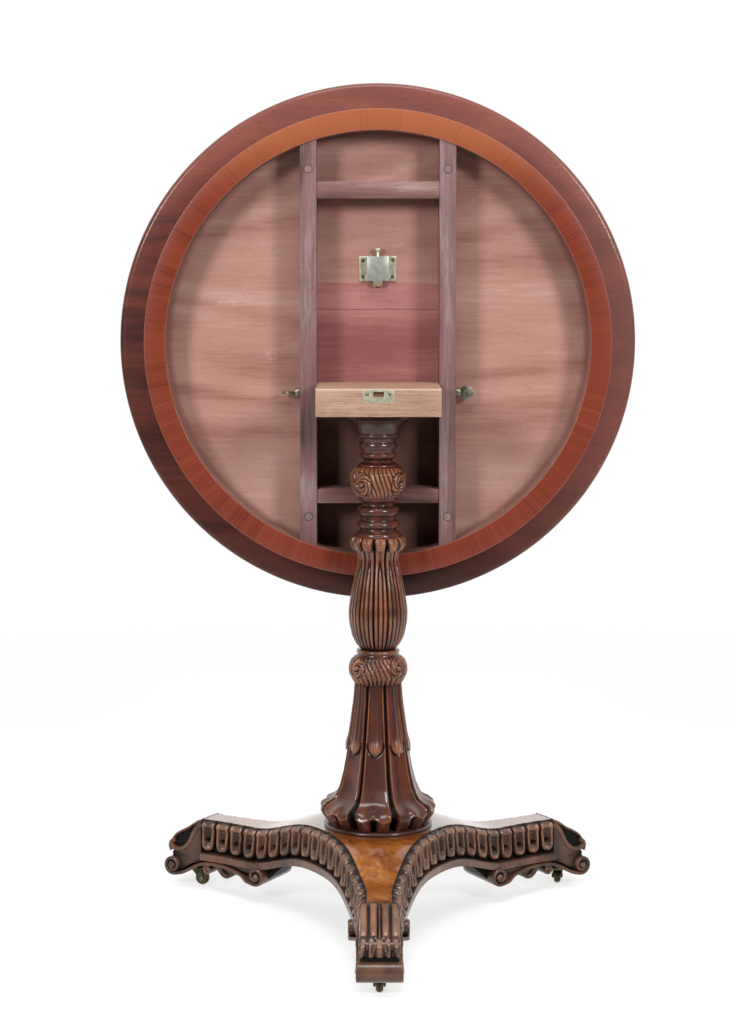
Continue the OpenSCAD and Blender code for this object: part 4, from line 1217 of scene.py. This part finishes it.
def knee_layout(across, along, length):
    """Move outwards and recess from the place across the knee and along it."""
    off = np.abs(across)
    tips = step_up(length - 27, length - 17, along)
    reeds = 1 - tips
    slim = np.exp(-(off / 0.9) ** 2)
    rib_groove = np.exp(-((off - 2.3) / 0.75) ** 2)
    inner = np.sqrt(np.clip(1 - ((off - 7.2) / 4.4) ** 2, 0, 1))
    sunk = step_up(11.2, 12.2, off) * step_up(15.2, 14.2, off)
    outer = np.sqrt(np.clip(1 - ((off - 19.4) / 4.6) ** 2, 0, 1))
    out = reeds * (0.5 * slim - 1.5 * rib_groove + 1.9 * inner - 1.1 * sunk + 1.7 * outer)
    recess = reeds * np.maximum(np.maximum(rib_groove, 0.72 * sunk),
                                0.34 - 0.3 * np.maximum(inner, outer))
    # the leaf tips: five round lobes with cuts between them
    far = along - (length - 20)
    spread = off / (1 + 0.012 * np.clip(far, 0, 30))
    lobe = np.abs(np.sin(math.pi * (spread / 9.4 + 0.5)))
    cut_line = np.abs(off - 5.0 - 0.30 * far)
    pierced = np.exp(-(cut_line / 1.9) ** 2) * np.exp(-((far - 7.5) / 5.5) ** 2)
    outer_cut = np.exp(-(np.abs(off - 14.2) / 1.0) ** 2) * step_up(2, 6, far)
    veins = np.exp(-((off % 3.1 - 1.5) / 0.5) ** 2)
    out += tips * (2.6 * lobe * step_up(0, 9, far) - 4.2 * pierced - 2.2 * outer_cut
                   - 0.5 * veins)
    recess += tips * np.maximum(np.maximum(pierced * 1.2, outer_cut),
                                0.9 - 0.9 * lobe ** 0.6 + 0.1 * veins)
    collar = np.exp(-((along - length + 23) / 2.4) ** 2)
    recess = np.maximum(recess, 0.4 * collar)
    recess = np.maximum(recess, 0.6 * step_up(2.5, 0.5, along))
    return out, recess


def knee_sheet(bm):
    """Adds the carved knee to a foot that points along +X."""
    line = close_set(KNEE_LINE, 0.8, smooth=True)
    step = np.hypot(*np.diff(line, axis=0).T)
    along_line = np.concatenate([[0], np.cumsum(step)])
    length = along_line[-1]
    made = bmesh.ops.create_grid(bm, x_segments=84, y_segments=72, size=0.5)["verts"]
    uv = np.array([v.co[:2] for v in made]) + 0.5
    along = uv[:, 0] * length
    across = (uv[:, 1] - 0.5) * 2 * KNEE_HALF
    across = across * (0.86 + 0.14 * step_up(0, 26, along))
    x = np.interp(along, along_line, line[:, 0])
    z = np.interp(along, along_line, line[:, 1])
    dx = np.interp(along + 0.4, along_line, line[:, 0]) - np.interp(along - 0.4, along_line,
                                                                    line[:, 0])
    dz = np.interp(along + 0.4, along_line, line[:, 1]) - np.interp(along - 0.4, along_line,
                                                                    line[:, 1])
    size = np.maximum(np.hypot(dx, dz), 1e-6)
    out, recess = knee_layout(across, along, length)
    out -= 1.4 * step_up(KNEE_HALF - 1.5, KNEE_HALF, np.abs(across))
    x = x - dz / size * out
    z = z + dx / size * out
    layer = bm.verts.layers.float["recess"]
    for v, px, py, pz, sunk in zip(made, x, across, z, recess):
        v.co = (px * MM, py * MM, pz * MM)
        v[layer] = min(max(sunk, 0), 1)
    faces = list({f for v in made for f in v.link_faces})
    bmesh.ops.recalc_face_normals(bm, faces=faces)
    if sum(f.normal.z for f in faces) < 0:
        bmesh.ops.reverse_faces(bm, faces=faces)
    before = set(bm.faces)
    bmesh.ops.solidify(bm, geom=faces, thickness=2.6 * MM)
    print("knee:", len(before), "faces, then", len(bm.faces), "with its thickness")


# %% [markdown]
# ## Putting one foot together
# The body of the foot is a slab with the side outline. The strips are wider than the
# body, so its sides are sunk panels. The volutes are ribbons wound into coils, with a
# turned button in the middle of each.
# %% Model a foot that points along +X
sole_z = band_low


def foot_body(bm):
    top_line = [(r, sole_z + float(lift(math.hypot(r, 24))) - 0.2) for r in
                (131, 140, 150, 160, 172, 186)]
    outline = top_line + [(arm_end_r, sole_z), (arm_end_r, 97), (274.6, 93.6), (281.6, 83),
                          (286.4, 71.6), (292.6, 62), (300.6, 56.6), (311, 54), (317, 49),
                          (317, 40), (310, 22), (300, 26.4), (284, 36.6), (269, 41.6),
                          (249, 43), (232, 42), (208, 35.6), (190, 27.4), (176, 24), (166, 26)]
    slab_of(bm, outline, 23.4, 0.8, 0.36, 0.8)
    # painted shade: the hollow between the knee and the upper strip is closed by a web coloured
    # almost black, as the shade inside it
    cavity = [(276, 94), (290, 84), (302, 77), (310, 71), (314, 64), (311, 57), (300, 57),
              (292, 62), (285, 72), (281, 83)]
    slab_of(bm, cavity, 20.5, 0.5, 0.9)
    # painted shade: the body is darkened at its inner end under the arm and behind the toe
    for v in bm.verts:
        if v.co.x < 0.178 or v.co.x > 0.3:
            v[bm.verts.layers.float["recess"]] = 0.8


def foot_strips(bm):
    upper_line = close_set([(268.8, 92.5), (274, 90.4), (280, 82), (285.2, 71), (291, 61.6),
                            (299, 55.4), (309, 52.6), (316, 53.2), (320.4, 57.6),
                            (320.6, 63.4), (317, 66.6), (313, 64.8)], 1.8, smooth=True)
    ribbon(bm, upper_line, (6.6, 4.6), 25.2, 1.9, 0.2)
    toe = coil(toe_mid, -112, 1.5, 12.4, 4.2, 40)
    sole = [(249, 40.6), (258, 40.4), (268, 38.2), (278, 33.4), (288, 27.4), (299, 21.6)]
    inner_mid = (171, 36.5)
    inner = coil(inner_mid, -62, -1.35, 12.0, 4.6, 34)
    run = [(184.5, 27.8), (196, 30.8), (208, 34.4), (219, 37.8), (231, 40.2)]
    sole_line = close_set(list(reversed(inner)) + run + sole + toe, 1.7, smooth=True)
    before = set(bm.verts)
    ribbon(bm, sole_line, (4.2, 4.4), 28.6, 1.7, 0.2)
    for v in set(bm.verts) - before:
        x = v.co.x / MM
        v.co.y *= 1 + 0.36 * float(step_up(206, 184, x))
    for centre, radius, half in ((toe_mid, 3.6, 29.4), (inner_mid, 3.6, 38.8)):
        turned_button(bm, centre, radius, half)
    # what shows between the turns of the volutes lies deeper and dark
    slab_of(bm, coil(toe_mid, 0, 27 / 28, 8.4, 8.4, 27), 27.0, 0.5, 0.85)
    slab_of(bm, coil(inner_mid, 0, 23 / 24, 8.6, 8.6, 23), 35.6, 0.5, 0.85)


def turned_button(bm, centre, radius, half):
    """A round button with a domed face, right through the foot."""
    made = bmesh.ops.create_cone(bm, cap_ends=True, segments=28, radius1=radius * MM,
                                 radius2=radius * MM, depth=2 * half * MM)["verts"]
    bmesh.ops.rotate(bm, cent=(0, 0, 0), matrix=Matrix.Rotation(math.pi / 2, 3, "X"), verts=made)
    bmesh.ops.translate(bm, vec=(centre[0] * MM, 0, centre[1] * MM), verts=made)
    rims = [e for e in {e for v in made for e in v.link_edges} if e.calc_face_angle(0) > 1.0]
    set_recess(bm, made, 0.05)
    bmesh.ops.bevel(bm, geom=rims, offset=radius * 0.55 * MM, offset_type="OFFSET", segments=4,
                    profile=0.5, affect="EDGES", clamp_overlap=True, material=-1)


def arch_leaves(bm):
    """The small volute and the slanting leaves that fill the arch of the sole."""
    ribbon(bm, close_set([(244, 41), (252, 40)] + coil((261, 29.6), 116, -1.5, 6.8, 2.4, 30),
                         1.3, smooth=True), (4.6, 3.0), 21.5, 1.3, 0.12)
    slab_of(bm, coil((261, 29.6), 0, 21 / 22, 5.4, 5.4, 21), 19.8, 0.4, 0.8)
    turned_button(bm, (261, 29.6), 2.4, 21.0)
    ribbon(bm, close_set([(246, 40), (242, 33.6), (236.6, 26), (231.4, 22.6), (227.4, 24.6)],
                         1.6, smooth=True), (9.4, 5.6), 20.0, 2.4, 0.15)
    ribbon(bm, close_set([(238, 40), (233.6, 35), (227, 29), (221, 27.4)], 1.6, smooth=True),
           (8.2, 5.0), 17.6, 2.2, 0.5)


POCKET_HALF = 12.75
POCKET_FLOOR = 24.8
POCKET_ENDS = (271, 313)


def caster_pocket(bm):
    """Squeezes the middle of the sole upwards, so that the caster can turn under it."""
    for y in (-POCKET_HALF - 0.75, -POCKET_HALF + 0.75, POCKET_HALF - 0.75, POCKET_HALF + 0.75):
        everything = bm.verts[:] + bm.edges[:] + bm.faces[:]
        bmesh.ops.bisect_plane(bm, geom=everything, plane_co=(0, y * MM, 0), plane_no=(0, 1, 0),
                               dist=1e-7)
    top, bottom = 40, 15
    for v in bm.verts:
        x, y, z = v.co / MM
        if abs(y) < POCKET_HALF and POCKET_ENDS[0] < x < POCKET_ENDS[1] and z < top:
            share = (z - bottom) / (top - bottom)
            v.co.z = (POCKET_FLOOR + share * (top - POCKET_FLOOR)) * MM


def make_foot():
    bm = bmesh.new()
    bm.verts.layers.float.new("recess")
    foot_body(bm)
    foot_strips(bm)
    arch_leaves(bm)
    caster_pocket(bm)
    knee_sheet(bm)
    return bm


FOOT_HEADINGS = {"front": 270, "right": 30, "left": 150}
for side, heading in FOOT_HEADINGS.items():
    turn_to = Matrix.Rotation(math.radians(heading), 4, "Z")
    keep("scroll_foot_" + side, make_foot(), "base", "carved_rosewood", worn_rosewood,
         "foot_" + side, smooth=48, place=turn_to)

# %% [markdown]
# ## Brass and steel
# The catch and the strike are thin brass, gone dull and greenish, and bright only where
# fingers rub. The casters are darker, since nobody polishes them. A metal needs little
# more than its colour, a patchy roughness and a few scratches.
# %% Make the metals


def metal(name, dull, bright, rough, patches=0.5, shine=0.85):
    finish = Finish(name, Metallic=shine)
    cloud = finish.noise(finish.place(), 160.0, 4.0, 0.65)
    fine = finish.noise(finish.mapped((1, 1, 0.05)), 1800.0, 2.0)
    tone = (cloud * 0.8 + fine * 0.3).ramp(0.35, 0.75)
    colour = finish.mix(tone, dull, bright)
    height = cloud + fine * 0.4
    return finish.wear(colour, cloud * patches + rough, finish.bump(height, 0.12, 0.0002))


aged_brass = metal("aged_brass", "#b3b094", "#dfdcc2", 0.24, 0.3, 0.6)
case_brass = metal("case_brass", "#aaafa4", "#c4c8bd", 0.28, 0.15, 0.6)
thumb_brass = metal("thumb_brass", "#6f6d5c", "#b3b19c", 0.2, 0.3)
dark_brass = metal("dark_brass", "#33301f", "#8b825a", 0.2)
steel = metal("steel", "#5d5c58", "#a9a8a3", 0.25)
print("metals:", aged_brass.name, dark_brass.name, steel.name)

# %% [markdown]
# ## The catch, the strike and the thumb screws
# These small fittings are exact in the frame, so each is a copy with its edges eased. The
# heads of the screws get their slots: a disc is cut across four times, and the bar left
# in the middle is pushed down.
# %% Ease the fittings and cut the slots
FITTINGS = {
    "catch_plate": ("top", "aged_brass", aged_brass, 0.25),
    "catch_case": ("top", "aged_brass", case_brass, 0.9),
    "catch_bolt": ("bolt", "aged_brass", aged_brass, 0.3),
    "catch_knob": ("bolt", "aged_brass", aged_brass, 0.4),
    "strike_plate": ("base", "aged_brass", aged_brass, 0.2),
    "pivot_screw_left": ("pivot_left", "aged_brass", thumb_brass, 0.5),
    "pivot_screw_right": ("pivot_right", "aged_brass", thumb_brass, 0.5),
}
for node, (body, slot, material, width) in FITTINGS.items():
    eased(node + "_eased", node, body, slot, material, width * MM, 40)


def slotted_head(bm, at, radius, height, turn):
    """A screw head that faces the viewer, with a slot turned by an angle in degrees."""
    head = bmesh.new()
    disc = bmesh.ops.create_circle(head, cap_ends=True, segments=28, radius=radius)["verts"]
    grown = bmesh.ops.extrude_face_region(head, geom=list(disc[0].link_faces))["geom"]
    lifted = [g for g in grown if isinstance(g, bmesh.types.BMVert)]
    bmesh.ops.translate(head, vec=(0, 0, height), verts=lifted)
    for normal, away in (((1, 0, 0), 0.82), ((0, 1, 0), 0.16)):
        for sign in (-1, 1):
            cap = [f for f in head.faces if f.calc_center_median().z > height * 0.99]
            edges = {e for f in cap for e in f.edges}
            point = Vector(normal) * sign * away * radius
            bmesh.ops.bisect_plane(head, geom=cap + list(edges), plane_co=point,
                                   plane_no=normal, dist=1e-7)
    bar = [f for f in head.faces if f.calc_center_median().z > height * 0.99
           and f.calc_center_median().xy.length < radius * 0.1]
    grown = bmesh.ops.extrude_face_region(head, geom=bar)["geom"]
    sunk = [g for g in grown if isinstance(g, bmesh.types.BMVert)]
    bmesh.ops.translate(head, vec=(0, 0, -height * 0.85), verts=sunk)
    bmesh.ops.recalc_face_normals(head, faces=head.faces)
    spin = Matrix.Rotation(math.radians(turn), 4, "Z")
    bmesh.ops.transform(head, verts=head.verts, matrix=Matrix.Translation(at)
                        @ Matrix.Rotation(math.pi / 2, 4, "X") @ spin)
    made = bpy.data.meshes.new("head")
    head.to_mesh(made)
    head.free()
    bm.from_mesh(made)
    bpy.data.meshes.remove(made)


HEAD_R = 2.5 * MM
HEAD_T = 0.45 * MM
catch_y = low("catch_plate").y - 0.02 * MM + HEAD_T * 0.4
catch_heads = bmesh.new()
rows_z = (low("catch_screws").z + 2.6 * MM, high("catch_screws").z - 2.6 * MM)
across_x = high("catch_screws").x - 2.6 * MM
for i, (x, z) in enumerate((x, z) for x in (-across_x, across_x) for z in rows_z):
    slotted_head(catch_heads, (x, catch_y, z), HEAD_R, HEAD_T, 25 + 47 * i)
keep("catch_screw_heads", catch_heads, "top", "aged_brass", thumb_brass)
strike_heads = bmesh.new()
strike_x = high("strike_screws").x - 2.6 * MM
strike_z = (low("strike_screws").z + high("strike_screws").z) / 2
for i, x in enumerate((-strike_x, strike_x)):
    slotted_head(strike_heads, (x, low("strike_plate").y + HEAD_T * 0.6, strike_z), HEAD_R * 0.9,
                 HEAD_T, 70 - 115 * i)
keep("strike_screw_heads", strike_heads, "base", "aged_brass", thumb_brass)

# %% [markdown]
# ## The casters
# Each caster is a plate, a horn that swivels under it and a wheel on an axle.
# %% Ease the casters
for side in ("front", "right", "left"):
    eased("caster_cup_" + side, "caster_plate_" + side, "base", "dark_brass", dark_brass,
          0.5 * MM, 40)
    eased("caster_fork_" + side, "caster_horn_" + side, "swivel_" + side, "dark_brass",
          dark_brass, 0.5 * MM, 40)
    eased("caster_roller_" + side, "caster_wheel_" + side, "wheel_" + side, "dark_brass",
          dark_brass, 1.4 * MM, 40)

# %% [markdown]
# ## Everything that stays plain
# Screws, dowels, the wedge and the spring are hidden inside the wood or nearly so. They
# stay as the frame made them, and only get a finish.
# %% Give the remaining nodes a finish


def plug_finish():
    """The wood of the bearers with a dark line of glue round each plug."""
    finish = Finish("plug_wood", Roughness=0.6)
    bands, fibres, pores = grain(finish, 0, 0.3)
    x, z = finish.axes()[::2]
    plug_low, plug_high = low("bearer_plugs"), high("bearer_plugs")
    plug_r = 6 * MM
    span = (plug_high.z - plug_low.z) / 2 - plug_r
    off_x = abs(x) - (plug_high.x - plug_r)
    off_z = abs(z - (plug_high.z + plug_low.z) / 2) - span
    out = (off_x * off_x + off_z * off_z) ** 0.5
    colour = finish.mix(fibres * 0.6 + bands * 0.3, "#6a4a45", "#a58a86")
    colour = finish.mix(out.ramp(plug_r * 0.76, plug_r * 0.86) * 0.8, colour, "#2b1714")
    return finish.wear(colour, 0.55 + fibres * 0.15, finish.bump(fibres - pores, 0.2, 0.0004))


plug_wood = plug_finish()
STAYS = (("bearer_plugs", plug_wood), ("bearer_screws", steel), ("catch_spring", steel),
         ("catch_screws", aged_brass), ("strike_screws", aged_brass), ("foot_screws", steel),
         ("foot_dowels", block_oak), ("tenon_wedge", dark_rosewood), ("caster_axle", steel),
         ("caster_screws", steel))
for node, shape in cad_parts.items():
    for start, material in STAYS:
        if node.startswith(start):
            shape.data.materials.clear()
            shape.data.materials.append(material)
            shape.data.shade_smooth()
            shape.data.set_sharp_from_angle(angle=math.radians(34))
print("plain nodes finished:", sum(node.startswith(tuple(s for s, m in STAYS))
                                   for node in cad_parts))
